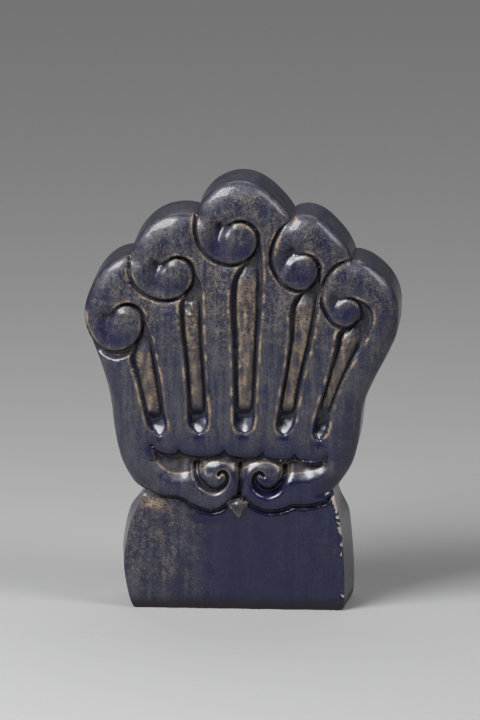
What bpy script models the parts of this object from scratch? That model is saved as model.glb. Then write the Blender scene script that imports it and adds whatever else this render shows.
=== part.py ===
"""Glazed ridge ornament, a fan of five curled clouds over a block, pressed and carved from one piece of clay.

The front is drawn flat, in hundredths of the height, with X from the fan's middle and Z from the underside.
The drawing is meshed, its points are pushed back by the carving's depth, and the sheet is closed round the
edges and over the plain back. X points to the viewer's right, the carved face looks along -Y, and Z is up.
"""
import math

import bpy
import numpy as np
from mathutils import Vector
from mathutils.geometry import delaunay_2d_cdt

# Overall sizes, in metres
HEIGHT = 0.240
THICKNESS = 0.044
FAN_RIM_RADIUS = 0.0135
FAN_RIM_DROP = 0.0085
BLOCK_EDGE_RADIUS = 0.0016
BLOCK_FOOT_RADIUS = 0.0013
BACK_EDGE_RADIUS = 0.0016
BLOCK_FLARE = 0.0040
BLOCK_SETBACK = 0.0034

# Sizes of the scrolls, in metres
FACE_MARGIN = 0.0010
SCROLL_RISE = 0.0010
SCROLL_RISE_REACH = 0.0050
NEIGHBOUR_SINK = 0.0022
NEIGHBOUR_SINK_REACH = 0.0045
GROOVE_WIDTH = 0.0026
GROOVE_DEPTH = 0.0022
SCROLL_EDGE_RADIUS = 0.0062
SCROLL_EDGE_DROP = 0.0033
KNOB_DOME = 0.0026
KNOB_RADIUS = 0.0118
KNOB_POWER = 2.4
VALLEY_WIDTH = 0.0085
VALLEY_DEPTH = 0.0022

# Sizes of the slots and their ribs, in metres; a share is of the way from a slot's edge to its rib's middle
SLOT_DEPTH = 0.0046
SLOT_WALL = 0.0022
SLOT_WALL_LEAST = 0.0010
SLOT_WALL_SHARE = 0.30
RIB_DEPTH = 0.0021
RIB_FOOT_SHARE = 0.34
RIB_TOP_SHARE = 0.62
RIB_CROWN = 0.20
RIB_HEAD_FADE = 0.0120
RIB_FOOT_FADE = 0.0084
SCOOP_WALL = 0.0036
SCOOP_LENGTH = 0.0105
SCOOP_BEGINS = 0.0145
SCOOP_FULL = 0.0085
SCOOP_FOOT_SHARE = 0.25
SCOOP_REACH = 0.0040
SCOOP_DEPTH = 0.0010

# Sizes of the recess, the volutes and the fan's foot, in metres
RECESS_DEPTH = 0.0062
RECESS_WALL = 0.0012
RECESS_END_WALL = 0.0020
PETAL_FOOT_DROP = 0.0030
PETAL_FOOT_RADIUS = 0.0052
BAND_EDGE_DROP = 0.0027
BAND_EDGE_RADIUS = 0.0046
VOLUTE_RISE = 0.0009
VOLUTE_RADIUS = 0.0138
VOLUTE_GROOVE_DEPTH = 0.0026
VOLUTE_EDGE_RADIUS = 0.0034
VOLUTE_EDGE_SHARE = 0.6
PARTING_WIDTH = 0.0022
FAN_FOOT_RADIUS = 0.0030
SHADOW_LINE_WIDTH = 0.0024
SHADOW_LINE_DEPTH = 0.0014
FOOT_STEP = 0.0009
LEDGE_WIDTH = 0.0046
LEDGE_DEPTH = 0.0028
BUD_HEIGHT = 0.0040
BUD_EDGE_SHARE = 0.4

# How finely the drawing is meshed, and how many triangles are kept
SEED_STEP = 0.0018
CARVING_SEED_GAP = 0.45
OPEN_SEED_GAP = 0.65
CDT_TOLERANCE = 1e-7
KEPT_TRIANGLES = 9700
CURVE_STEP = 0.0012
SCALLOP_STEPS = 8
VOLUTE_STEPS = 6
RIM_REACH = 2.0
CORNER_ANGLE = 25
SMOOTH_ANGLE = 40
FOOT_FLAT_TOLERANCE = 0.00005

UNIT = HEIGHT / 100
EIGHTH = 45.0
CURL_STEP = 5

# Each cloud's curl: its eye, the angle of its first radius, a radius for every eighth of a turn, and its end
SCROLLS = (
    {"eye": (-26.6, 66.4), "first": 45, "end": 510,
     "radii": (16.3, 15.8, 11.4, 9.3, 8.0, 5.9, 4.6, 4.2, 4.9, 4.9, 4.2, 3.6)},
    {"eye": (-15.5, 77.6), "first": 45, "end": 495,
     "radii": (15.8, 14.7, 12.1, 10.0, 6.9, 5.1, 4.7, 4.8, 5.2, 4.8, 3.9, 3.8)},
    {"eye": (-0.5, 86.3), "first": 0, "end": 495,
     "radii": (13.4, 12.6, 13.7, 12.3, 9.6, 7.1, 5.3, 4.7, 4.6, 4.7, 4.8, 4.6)},
    {"eye": (13.7, 79.7), "first": 0, "end": 470,
     "radii": (12.0, 11.5, 12.6, 8.9, 6.4, 5.2, 4.9, 4.5, 4.3, 4.2, 3.9, 3.7)},
    {"eye": (24.0, 70.4), "first": 0, "end": 480,
     "radii": (11.9, 11.5, 11.4, 7.7, 5.0, 4.2, 4.0, 3.7, 3.8, 3.4, 3.0, 2.7)},
)
NECK_ANGLE = 300
NECK_OVERLAP = 10
GAP_TAPER = 75
EDGE_FADE = 20
NECK_FADE = 40
KNOB_FADE = 30
VALLEY_TURN = 110
VALLEY_SPREAD = 1.25
VALLEY_FADE = 50

# Each slot under a curl: the angle where its right edge leaves the curl, its two edges, its foot and its rib
SLOTS = (
    {"leaves": 370, "right": ((-20.4, 63.5), (-19.5, 58.8), (-18.4, 53.0), (-17.7, 47.2), (-17.0, 42.8)),
     "foot": (-18.7, 40.6), "left": ((-21.3, 42.8), (-22.8, 48.3), (-23.8, 53.0), (-25.5, 58.4)),
     "rib": ((-23.0, 63.8), (-21.5, 52.8), (-20.6, 48.2), (-19.5, 43.9))},
    {"leaves": 370, "right": ((-9.0, 75.2), (-8.7, 64.7), (-8.3, 56.5), (-7.9, 49.5), (-7.6, 43.4)),
     "foot": (-9.7, 41.2),
     "left": ((-12.0, 43.2), (-12.5, 49.5), (-12.9, 57.2), (-13.9, 64.7), (-14.2, 70.8)),
     "rib": ((-11.4, 73.4), (-11.1, 62.2), (-10.4, 54.0), (-10.0, 45.1))},
    {"leaves": 370, "right": ((5.0, 79.9), (4.7, 70.5), (4.0, 61.2), (3.3, 49.5), (2.8, 43.4)),
     "foot": (0.7, 41.4), "left": ((-1.5, 43.2), (-1.8, 49.5), (-2.1, 61.2), (-2.3, 76.1)),
     "rib": ((1.2, 81.0), (1.1, 68.0), (1.4, 61.0), (1.1, 52.8), (0.8, 45.3))},
    {"leaves": 370, "right": ((18.0, 74.0), (16.4, 63.5), (14.6, 56.5), (13.0, 48.3), (12.0, 43.4)),
     "foot": (9.8, 41.2), "left": ((8.0, 43.2), (8.9, 49.5), (10.1, 56.5), (11.0, 63.5), (11.5, 72.0)),
     "rib": ((15.2, 75.4), (13.7, 65.7), (12.6, 59.9), (11.2, 51.7), (10.1, 45.1))},
    {"leaves": 420, "right": ((29.0, 72.0), (30.3, 69.4), (29.5, 65.8), (27.4, 61.8), (24.4, 56.4),
                              (22.4, 51.8), (20.6, 46.6), (19.9, 42.6)),
     "foot": (17.9, 40.0), "left": ((16.4, 42.2), (17.8, 48.3), (19.6, 54.2), (21.5, 62.3), (22.2, 65.4)),
     "rib": ((26.9, 67.6), (24.0, 60.6), (22.2, 56.4), (20.3, 51.2), (18.7, 45.6))},
)

# The fan's sides, from a curl down to the block
LEFT_SIDE_ANGLE = 206
LEFT_SIDE = ((-32.6, 58.0), (-30.8, 52.3), (-29.9, 47.7), (-29.2, 41.8), (-28.0, 36.0), (-26.4, 32.2),
             (-24.4, 29.2), (-22.2, 27.6))
RIGHT_SIDE = ((20.9, 28.2), (22.9, 30.5), (25.4, 34.7), (26.8, 39.9), (27.9, 48.0), (30.2, 53.9),
              (33.8, 60.9), (35.6, 65.5))
BLOCK_LEFT = ((-22.8, 26.4), (-23.9, 23.6), (-25.6, 18.9), (-26.7, 13.0), (-26.8, 9.0), (-26.0, 4.0),
              (-25.1, 1.0), (-24.4, 0.0))
BLOCK_RIGHT = ((22.7, 0.0), (23.3, 1.0), (23.5, 4.8), (23.4, 9.5), (22.9, 16.5), (22.2, 22.3), (21.4, 26.4))

# Where the block's flare begins and is full, and the half width where it is whole
FLARE_TOP = 26.0
FLARE_FULL = 20.0
FLARE_HALF = 25.0

# The fan's lower edge over the block, and the lower lips of the recess under the petals
FOOT_EDGE = ((-22.6, 28.6), (-19.6, 27.0), (-17.4, 26.5), (-15.1, 26.5), (-13.4, 26.0), (-11.7, 24.9),
             (-9.4, 23.8), (-7.1, 23.3), (-5.5, 23.6), (-3.9, 24.6), (-2.4, 26.0), (-0.8, 26.7), (0.9, 26.3),
             (2.1, 25.2), (3.4, 24.3), (5.5, 23.5), (7.8, 23.5), (9.9, 24.0), (11.6, 24.8), (13.5, 24.8),
             (15.3, 24.9), (17.4, 25.3), (19.2, 26.0), (21.6, 28.6))
SCALLOP_CUSPS = ((-20.6, 38.2), (-14.4, 37.2), (-3.9, 37.2), (4.8, 36.9), (12.3, 36.5), (19.4, 36.0))
SCALLOP_SAG = 1.5
RECESS_MIDDLE = 35.3
RECESS_FOOT = ((19.0, 34.6), (17.6, 33.4), (15.0, 32.7), (12.4, 32.5), (10.4, 32.2), (9.2, 33.4), (7.0, 34.7),
               (4.7, 34.9), (2.4, 34.5), (0.6, 33.5), (-0.3, 32.6), (-1.2, 33.5), (-3.0, 34.5), (-5.3, 34.9),
               (-7.4, 34.5), (-9.0, 33.2), (-10.8, 32.8), (-13.0, 32.1), (-16.0, 32.2), (-18.4, 33.6),
               (-20.0, 35.4))

# Each volute's groove runs in from the recess and winds round the volute's eye, its widths in metres
VOLUTES = (
    {"eye": (-5.0, 30.9), "first": 150, "turn": 1, "radii": (6.2, 4.3, 3.2, 2.1, 1.8, 1.9, 1.8, 0.9),
     "widths": (0.0036, 0.0040, 0.0032, 0.0024, 0.0021, 0.0019, 0.0016)},
    {"eye": (4.9, 30.8), "first": 30, "turn": -1, "radii": (5.8, 4.2, 3.4, 2.4, 1.9, 1.9, 1.8, 1.0),
     "widths": (0.0024, 0.0036, 0.0048, 0.0040, 0.0024, 0.0019, 0.0016)},
)
VOLUTE_PARTING = ((-0.3, 34.0), (-0.2, 32.0), (-0.2, 29.5), (-0.6, 26.4))

# Hollows in the volutes: middle, half width, half height, turn, depth in metres
HOLLOWS = (
    (-6.8, 32.3, 1.3, 0.8, 10, 0.0013),
    (6.8, 31.8, 0.9, 1.5, -15, 0.0013),
    (6.9, 28.4, 2.2, 1.1, 5, 0.0012),
)

# The ledge under the left curl, where the left band begins
LEDGE = ((-33.8, 61.6), (-31.4, 59.9), (-28.6, 59.3), (-25.6, 60.3))
BUD = ((-3.6, 25.2), (-0.9, 26.3), (1.6, 25.2), (-0.6, 21.5))
BUD_TIP = (-0.8, 24.6)


def smooth_line(points, step=CURVE_STEP):
    """A smooth line through the points, sampled every step or so (Catmull-Rom)."""
    points = np.asarray(points, float)
    before = np.vstack([2 * points[0] - points[1], points[:-1]])
    after = np.vstack([points[1:], 2 * points[-1] - points[-2]])
    slope = (after - before) / 2
    line = []
    for i in range(len(points) - 1):
        count = max(2, math.ceil(np.linalg.norm(points[i + 1] - points[i]) / step))
        t = np.arange(count)[:, None] / count
        line.append((2 * t**3 - 3 * t**2 + 1) * points[i] + (t**3 - 2 * t**2 + t) * slope[i]
                    + (3 * t**2 - 2 * t**3) * points[i + 1] + (t**3 - t**2) * slope[i + 1])
    return np.vstack(line + [points[-1:]])


def drawn(points):
    """Points of the drawing, in metres."""
    return np.asarray(points, float) * UNIT


def drawn_line(points):
    return smooth_line(drawn(points))


def curl_radius(scroll, angle):
    """The curl's radius at an angle, smooth between the eighths of its turn."""
    eighths = np.abs(np.asarray(angle, float) - scroll["first"]) / EIGHTH
    radii = np.asarray(scroll["radii"], float) * UNIT
    padded = np.concatenate([[2 * radii[0] - radii[1]], radii, [2 * radii[-1] - radii[-2]]])
    i = np.clip(np.floor(eighths).astype(int), 0, len(radii) - 2)
    t = eighths - i
    slope_in = (padded[i + 2] - padded[i]) / 2
    slope_out = (padded[i + 3] - padded[i + 1]) / 2
    return ((2 * t**3 - 3 * t**2 + 1) * padded[i + 1] + (t**3 - 2 * t**2 + t) * slope_in
            + (3 * t**2 - 2 * t**3) * padded[i + 2] + (t**3 - t**2) * slope_out)


def curl(scroll, first, last, outward=0.0):
    """The curl's line from one angle to another, moved outward by a distance that may vary along it."""
    angle = np.linspace(first, last, max(3, round(abs(last - first) / CURL_STEP) + 1))
    radius = curl_radius(scroll, angle) + outward
    turn = np.radians(angle)
    return drawn(scroll["eye"]) + radius[:, None] * np.stack([np.cos(turn), np.sin(turn)], axis=1)


def crossing(first, second):
    """Where two lines cross: the points before it on the first, and the index along it on the second."""
    for i in range(len(first) - 1):
        a, b = first[i], first[i + 1] - first[i]
        c, d = second[:-1], second[1:] - second[:-1]
        cross = b[0] * d[:, 1] - b[1] * d[:, 0]
        cross = np.where(np.abs(cross) < 1e-18, 1e-18, cross)
        t = ((c[:, 0] - a[0]) * d[:, 1] - (c[:, 1] - a[1]) * d[:, 0]) / cross
        u = ((c[:, 0] - a[0]) * b[1] - (c[:, 1] - a[1]) * b[0]) / cross
        hit = np.flatnonzero((t >= 0) & (t <= 1) & (u >= 0) & (u <= 1))
        if len(hit):
            return i, int(hit[0]), a + t[hit[0]] * b
    raise ValueError("two lines of the drawing no longer cross")


def near(points, line, closed=False):
    """For each point: its distance to the line, the nearest place on it, and the place's index along it."""
    if closed:
        line = np.vstack([line, line[:1]])
    start, run = line[:-1], line[1:] - line[:-1]
    squared = np.maximum((run**2).sum(axis=1), 1e-18)
    distance = np.empty(len(points))
    place = np.empty((len(points), 2))
    index = np.empty(len(points))
    for low in range(0, len(points), 4000):
        block = points[low:low + 4000]
        t = np.clip(((block[:, None] - start) * run).sum(axis=2) / squared, 0, 1)
        away = block[:, None] - start - t[:, :, None] * run
        away = np.hypot(away[:, :, 0], away[:, :, 1])
        best = away.argmin(axis=1)
        rows = np.arange(len(block))
        distance[low:low + 4000] = away[rows, best]
        place[low:low + 4000] = start[best] + t[rows, best][:, None] * run[best]
        index[low:low + 4000] = best + t[rows, best]
    return distance, place, index


def inside(points, polygon):
    """True for each point inside the closed polygon."""
    found = np.zeros(len(points), bool)
    x, z = points.T
    for a, b in zip(polygon, np.roll(polygon, -1, axis=0)):
        spans = (a[1] > z) != (b[1] > z)
        rise = b[1] - a[1] if b[1] != a[1] else 1e-18
        found ^= spans & (x < a[0] + (z - a[1]) * (b[0] - a[0]) / rise)
    return found


def rounding(distance, radius):
    """How far a rounded edge has dropped, at a distance in from it."""
    return radius - np.sqrt(np.maximum(radius**2 - np.clip(radius - distance, 0, radius)**2, 0))


def hollow(distance, wall, depth):
    """A hollow's depth, at a distance in from its edge."""
    return depth * np.sin(np.clip(distance / wall, 0, 1) * math.pi / 2)


def groove(distance, width, depth):
    """A round groove's depth, at a distance from its middle."""
    return depth * np.clip(1 - (2 * distance / width)**2, 0, 1)


def ease(value, low, high):
    """From 0 at low to 1 at high, flat at both ends."""
    t = np.clip((value - low) / (high - low), 0, 1)
    return t * t * (3 - 2 * t)


def bell(distance, reach):
    """1 at the middle, fading to nothing past the reach."""
    return np.exp(-(distance / reach)**2)


def outline():
    """The front's outline, round from the left curl, with the rim radius at each of its points."""
    curls = [curl(scroll, scroll["first"], scroll["end"]) for scroll in SCROLLS]
    starts = []
    cuts = []
    for left, right in zip(curls, curls[1:]):
        i, j, place = crossing(left[::-1], right)
        starts.append((len(left) - 1 - i, place))
        cuts.append(j)
    fan = []
    for k, line in enumerate(curls):
        first = starts[k][0] if k < len(starts) else 0
        last = cuts[k - 1] if k else round((LEFT_SIDE_ANGLE - SCROLLS[0]["first"]) / CURL_STEP)
        part = line[first:last + 1][::-1]
        if k < len(starts):
            part = np.vstack([part, starts[k][1]])
        fan.append(part)
    left_side = smooth_line(np.vstack([fan[0][0], drawn(LEFT_SIDE)]))[::-1]
    right_side = smooth_line(np.vstack([drawn(RIGHT_SIDE), fan[-1][-1]]))[::-1]
    block_right = drawn_line(BLOCK_RIGHT)[::-1]
    block_left = drawn_line(BLOCK_LEFT)[::-1]
    parts = [left_side[:-1], *fan, right_side[1:], block_right, block_left]
    line = np.vstack(parts)
    radius = np.full(len(line), FAN_RIM_RADIUS)
    block_points = len(block_right) + len(block_left)
    edge = np.where(line[-block_points:, 1] < 2 * UNIT, BLOCK_FOOT_RADIUS, BLOCK_EDGE_RADIUS)
    radius[-block_points:] = edge
    return line, radius


def evenly(line, radius, step):
    """The closed outline with points about one step apart, its corners kept."""
    ahead = np.roll(line, -1, axis=0) - line
    length = np.hypot(*ahead.T)
    line, radius, ahead, length = (array[length > 1e-7] for array in (line, radius, ahead, length))
    behind = np.roll(ahead, 1, axis=0)
    sideways = behind[:, 0] * ahead[:, 1] - behind[:, 1] * ahead[:, 0]
    turn = np.abs(np.arctan2(sideways, (behind * ahead).sum(axis=1)))
    corners = np.flatnonzero(turn > math.radians(CORNER_ANGLE))
    kept, kept_radius = [], []
    for a, b in zip(corners, np.append(corners[1:], corners[0] + len(line))):
        order = np.arange(a, b + 1) % len(line)
        run = np.concatenate([[0], np.cumsum(length[order[:-1]])])
        at = np.linspace(0, run[-1], max(1, round(run[-1] / step)) + 1)[:-1]
        kept.append(np.column_stack([np.interp(at, run, line[order, 0]), np.interp(at, run, line[order, 1])]))
        kept_radius.append(np.interp(at, run, radius[order]))
    return np.vstack(kept), np.concatenate(kept_radius)


def slot_outline(scroll, slot):
    """A slot's closed outline: the tapering gap over the curl's knob, and the long slot below it."""
    gap = GROOVE_WIDTH / 2
    over = np.linspace(scroll["end"], slot["leaves"], round((scroll["end"] - slot["leaves"]) / CURL_STEP) + 1)
    outer = curl(scroll, over[0], over[-1], gap * np.clip((over[0] - over) / GAP_TAPER, 0, 1))
    around = np.linspace(NECK_ANGLE, scroll["end"], round((scroll["end"] - NECK_ANGLE) / CURL_STEP) + 1)
    inner = curl(scroll, around[0], around[-1], -gap * np.clip((around[-1] - around) / GAP_TAPER, 0, 1))
    below = drawn([*slot["right"], slot["foot"], *slot["left"]])
    edges = smooth_line(np.vstack([outer[-2:], below, inner[:1]]))
    return np.vstack([outer[:-2], edges[:-1], inner[:-1]])


def recess_outline():
    """The recess under the petals: scallops above, the lower bands and the volutes below."""
    scallops = []
    for a, b in zip(SCALLOP_CUSPS, SCALLOP_CUSPS[1:]):
        t = np.arange(SCALLOP_STEPS) / SCALLOP_STEPS
        x = a[0] + (b[0] - a[0]) * t
        z = a[1] + (b[1] - a[1]) * t - SCALLOP_SAG * np.sqrt(np.maximum(1 - (2 * t - 1)**2, 0))
        scallops.append(drawn(np.stack([x, z], axis=1)))
    return np.vstack(scallops + [drawn([SCALLOP_CUSPS[-1]]), drawn_line(RECESS_FOOT)])


def volute_line(volute):
    count = len(volute["radii"])
    angle = volute["first"] + volute["turn"] * np.linspace(0, EIGHTH * (count - 1), VOLUTE_STEPS * count)
    turn = np.radians(angle)
    radius = curl_radius(volute, angle)
    return drawn(volute["eye"]) + radius[:, None] * np.stack([np.cos(turn), np.sin(turn)], axis=1)


def across(points, x, z, wide, high, turn):
    """Distance from the middle of a turned oval, as a share of its size, all in the drawing's hundredths."""
    c, s = math.cos(math.radians(turn)), math.sin(math.radians(turn))
    dx, dz = (points / UNIT - [x, z]).T
    return np.hypot((c * dx + s * dz) / wide, (c * dz - s * dx) / high)


def carve_scroll(depth, points, scroll, begins):
    """One curl's rounded edge, the neighbour sinking beneath, the knob and the valley; gives the groove."""
    edge = curl(scroll, begins, NECK_ANGLE + NECK_OVERLAP)
    away, place, index = near(points, edge)
    eye = drawn(scroll["eye"])
    from_eye = np.hypot(*(points - eye).T)
    own = from_eye < np.hypot(*(place - eye).T)
    ends = np.clip(index * CURL_STEP / EDGE_FADE, 0, 1)
    ends *= np.clip((len(edge) - 1 - index) * CURL_STEP / NECK_FADE, 0, 1)
    depth -= np.where(own, SCROLL_RISE * np.exp(-away / SCROLL_RISE_REACH), 0) * ends
    depth += np.where(own, SCROLL_EDGE_DROP * rounding(away / SCROLL_EDGE_RADIUS, 1), 0)
    depth += np.where(own, 0, NEIGHBOUR_SINK * np.exp(-away / NEIGHBOUR_SINK_REACH)) * ends
    knob = curl(scroll, NECK_ANGLE, scroll["end"] - NECK_OVERLAP)
    _, place, index = near(points, knob)
    own = from_eye < np.hypot(*(place - eye).T)
    fade = np.clip((len(knob) - 1 - index) * CURL_STEP / KNOB_FADE, 0, 1)
    depth += np.where(own, KNOB_DOME * np.clip(from_eye / KNOB_RADIUS, 0, 1)**KNOB_POWER, 0) * fade
    turn = np.arange(scroll["end"], scroll["end"] + VALLEY_TURN + 1, CURL_STEP)
    radius = curl_radius(scroll, scroll["end"]) * np.linspace(1, VALLEY_SPREAD, len(turn))
    valley = eye + radius[:, None] * np.stack([np.cos(np.radians(turn)), np.sin(np.radians(turn))], axis=1)
    valley_away, _, index = near(points, valley)
    fade = np.clip((len(valley) - 1 - index) * CURL_STEP / VALLEY_FADE, 0, 1)
    depth += VALLEY_DEPTH * bell(2 * valley_away, VALLEY_WIDTH) * fade
    return groove(away, GROOVE_WIDTH, GROOVE_DEPTH)


def carve_slot(depth, points, scroll, slot):
    """One slot's broad low rib between two narrow channels, and the scoop at its foot; gives the cut."""
    edge = slot_outline(scroll, slot)
    away = near(points, edge, closed=True)[0]
    rib = drawn_line(slot["rib"])
    rib_away, _, index = near(points, rib)
    half = away + rib_away
    share = away / half
    fade = ease(index * CURVE_STEP, 0, RIB_HEAD_FADE)
    fade *= ease((len(rib) - 1 - index) * CURVE_STEP, 0, RIB_FOOT_FADE)
    crest = (1 - RIB_CROWN) * ease(share, RIB_FOOT_SHARE, RIB_TOP_SHARE)
    crest += RIB_CROWN * ease(share, RIB_TOP_SHARE, 1)
    foot = drawn(slot["foot"])
    above_foot = points[:, 1] - foot[1]
    end = ease(above_foot, SCOOP_BEGINS, SCOOP_FULL)
    wall = np.clip(SLOT_WALL_SHARE * half, SLOT_WALL_LEAST, SLOT_WALL) * (1 - end) + SCOOP_WALL * end
    ramp = SCOOP_FOOT_SHARE + (1 - SCOOP_FOOT_SHARE) * np.clip(above_foot / SCOOP_LENGTH, 0, 1)
    floor = hollow(away, wall, SLOT_DEPTH) * (1 - end) + SLOT_DEPTH * ramp * (away / wall) * end
    floor -= (SLOT_DEPTH - RIB_DEPTH) * crest * fade
    scoop_middle = foot + [0, 0.75 * SCOOP_REACH]
    depth += SCOOP_DEPTH * bell(np.hypot(*(points - scoop_middle).T), SCOOP_REACH)
    return np.where(inside(points, edge), floor, 0)


def carve_recess(depth, points):
    """The scalloped recess, deepest under the petals and rising to the lower bands, with rounded edges."""
    edge = recess_outline()
    within = inside(points, edge)
    petals = SCALLOP_STEPS * (len(SCALLOP_CUSPS) - 1) + 1
    petal_away = near(points, edge[:petals])[0]
    foot_away = near(points, drawn_line(RECESS_FOOT))[0]
    end_away = np.minimum(near(points, edge[[-1, 0]])[0], near(points, edge[petals - 1:petals + 1])[0])
    share = petal_away / (petal_away + foot_away)
    under = ease(petal_away, 0, RECESS_WALL)
    floor = PETAL_FOOT_DROP * (1 - under) + (RECESS_DEPTH + (BAND_EDGE_DROP - RECESS_DEPTH) * share) * under
    above = points[:, 1] > RECESS_MIDDLE * UNIT
    petal = np.where(above, PETAL_FOOT_DROP * rounding(petal_away / PETAL_FOOT_RADIUS, 1), 0)
    band = np.where(above, 0, BAND_EDGE_DROP * rounding(foot_away / BAND_EDGE_RADIUS, 1))
    depth += np.where(within, floor * ease(end_away, 0, RECESS_END_WALL), petal + band)


def cut_groove(depth, points, line, widths):
    """A groove whose width changes evenly from one given width to the next, with rounded shoulders."""
    away, _, index = near(points, line)
    width = np.interp(index / (len(line) - 1), np.linspace(0, 1, len(widths)), widths)
    depth += rounding(np.maximum(away - width / 2, 0), VOLUTE_EDGE_RADIUS) * VOLUTE_EDGE_SHARE
    return groove(away, width, VOLUTE_GROOVE_DEPTH)


def face_depth(points):
    """How far back from the foremost plane the carved front lies, at each point of the drawing."""
    depth = np.full(len(points), FACE_MARGIN)
    cuts = []
    curls = [curl(scroll, scroll["first"], scroll["end"]) for scroll in SCROLLS]
    for k, (scroll, slot) in enumerate(zip(SCROLLS, SLOTS)):
        begins = LEFT_SIDE_ANGLE - EDGE_FADE
        if k:
            begins = scroll["first"] + CURL_STEP * crossing(curls[k - 1][::-1], curls[k])[1]
        cuts.append(carve_scroll(depth, points, scroll, begins))
        cuts.append(carve_slot(depth, points, scroll, slot))
    carve_recess(depth, points)
    for volute in VOLUTES:
        from_eye = np.hypot(*(points - drawn(volute["eye"])).T)
        depth -= VOLUTE_RISE * (1 - np.clip(from_eye / VOLUTE_RADIUS, 0, 1)**2)
        cuts.append(cut_groove(depth, points, volute_line(volute), volute["widths"]))
    cuts.append(cut_groove(depth, points, drawn_line(VOLUTE_PARTING), (PARTING_WIDTH, PARTING_WIDTH)))
    cuts.append(groove(near(points, drawn_line(LEDGE))[0], LEDGE_WIDTH, LEDGE_DEPTH))
    for x, z, wide, high, turn, deep in HOLLOWS:
        depth += deep * bell(across(points, x, z, wide, high, turn), 1)
    depth += np.max(cuts, axis=0)
    return carve_foot(depth, points)


def carve_foot(depth, points):
    """The fan's rounded lower edge, the shadow line under it, the block set back below, and the bud."""
    foot_edge = drawn_line(FOOT_EDGE)
    away = near(points, foot_edge)[0]
    below = points[:, 1] < np.interp(points[:, 0], foot_edge[:, 0], foot_edge[:, 1])
    shadow = SHADOW_LINE_DEPTH * bell(2 * (away - FOOT_STEP), SHADOW_LINE_WIDTH)
    foot = FACE_MARGIN + FAN_FOOT_RADIUS
    block = foot + (BLOCK_SETBACK + FACE_MARGIN + shadow - foot) * np.clip(away / FOOT_STEP, 0, 1)
    bud = drawn(BUD)
    bud_away = near(points, bud, closed=True)[0]
    tip_away = np.hypot(*(points - drawn(BUD_TIP)).T)
    rise = BUD_EDGE_SHARE + (1 - BUD_EDGE_SHARE) * bud_away / (bud_away + tip_away)
    block -= np.where(inside(points, bud), BUD_HEIGHT * rise, 0)
    return np.where(below, block, depth + rounding(away, FAN_FOOT_RADIUS))


def rim_drop(radius):
    """How deep a rim of a radius rolls back: as deep as wide on the block, less on the fan's oval rim."""
    return radius - (FAN_RIM_RADIUS - FAN_RIM_DROP) * ease(radius, BLOCK_EDGE_RADIUS, FAN_RIM_RADIUS)


def rim_at(points, line, radius):
    """For each point: its distance in from the outline, the place there, and the rim's sizes there."""
    away, place, index = near(points, line, closed=True)
    low = np.floor(index).astype(int) % len(line)
    part = index - np.floor(index)
    r = radius[low] * (1 - part) + radius[(low + 1) % len(line)] * part
    drop = rim_drop(r)
    return away, place, r, drop, (r + drop) * math.pi / 4, RIM_REACH * r


def along_from(points, place, away, wanted):
    """The points moved along their way in from the outline, to the distance wanted."""
    share = np.where(away > 1e-9, wanted / np.maximum(away, 1e-9), 0)
    return place + (points - place) * share[:, None]


def to_rim(points, line, radius):
    """Gathers points to the rounded rim and gives their drop there, the quarter oval evenly covered."""
    away, place, r, drop, arc, reach = rim_at(points, line, radius)
    turned = np.clip(away / arc, 0, 1) * math.pi / 2
    gathered = np.where(away < arc, r * (1 - np.cos(turned)), r + (away - arc) * (reach - r) / (reach - arc))
    gathered = np.where(away < reach, gathered, away)
    return along_from(points, place, away, gathered), np.where(away < arc, drop * (1 - np.sin(turned)), 0)


def from_rim(points, line, radius):
    """Where points of the finished face lie before they are gathered to the rim."""
    away, place, r, drop, arc, reach = rim_at(points, line, radius)
    on_round = np.arccos(np.clip(1 - away / r, -1, 1)) * (r + drop) / 2
    past = arc + (away - r) * (reach - arc) / (reach - r)
    flat = np.where(away < r, on_round, np.where(away < reach, past, away))
    return along_from(points, place, away, flat)


def beside(line, offset):
    """The line moved sideways, to its left for a positive offset."""
    along = np.gradient(line, axis=0)
    along /= np.maximum(np.hypot(*along.T), 1e-12)[:, None]
    return line + offset * np.column_stack([-along[:, 1], along[:, 0]])


def resampled(line, step):
    """The line's points about one step apart."""
    run = np.concatenate([[0], np.cumsum(np.hypot(*np.diff(line, axis=0).T))])
    at = np.linspace(0, run[-1], max(1, round(run[-1] / step)) + 1)
    return np.column_stack([np.interp(at, run, line[:, 0]), np.interp(at, run, line[:, 1])])


def carving_seeds(step):
    """Points along the carving's edges and beds, so that the mesh follows them."""
    lines = []
    for scroll, slot in zip(SCROLLS, SLOTS):
        edge = resampled(slot_outline(scroll, slot), step)
        lines += [edge, beside(edge, -SLOT_WALL / 2), beside(edge, -SLOT_WALL)]
        lines.append(resampled(drawn_line(slot["rib"]), step))
        bed = resampled(curl(scroll, scroll["first"], scroll["end"]), step)
        lines += [bed, beside(bed, GROOVE_WIDTH / 2), beside(bed, -GROOVE_WIDTH / 2)]
    edge = resampled(recess_outline(), step)
    lines += [edge, beside(edge, -RECESS_WALL)]
    foot = resampled(drawn_line(FOOT_EDGE), step)
    lines += [foot, beside(foot, -FOOT_STEP), beside(foot, FOOT_STEP)]
    ledge = resampled(drawn_line(LEDGE), step)
    lines += [ledge, beside(ledge, LEDGE_WIDTH / 2), beside(ledge, -LEDGE_WIDTH / 2)]
    for line in [volute_line(volute) for volute in VOLUTES] + [drawn_line(VOLUTE_PARTING)]:
        bed = resampled(line, step)
        lines += [bed, beside(bed, PARTING_WIDTH / 2), beside(bed, -PARTING_WIDTH / 2)]
    lines += [resampled(np.vstack([drawn(BUD), drawn(BUD[:1])]), step), drawn([BUD_TIP])]
    return np.vstack(lines)


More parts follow.
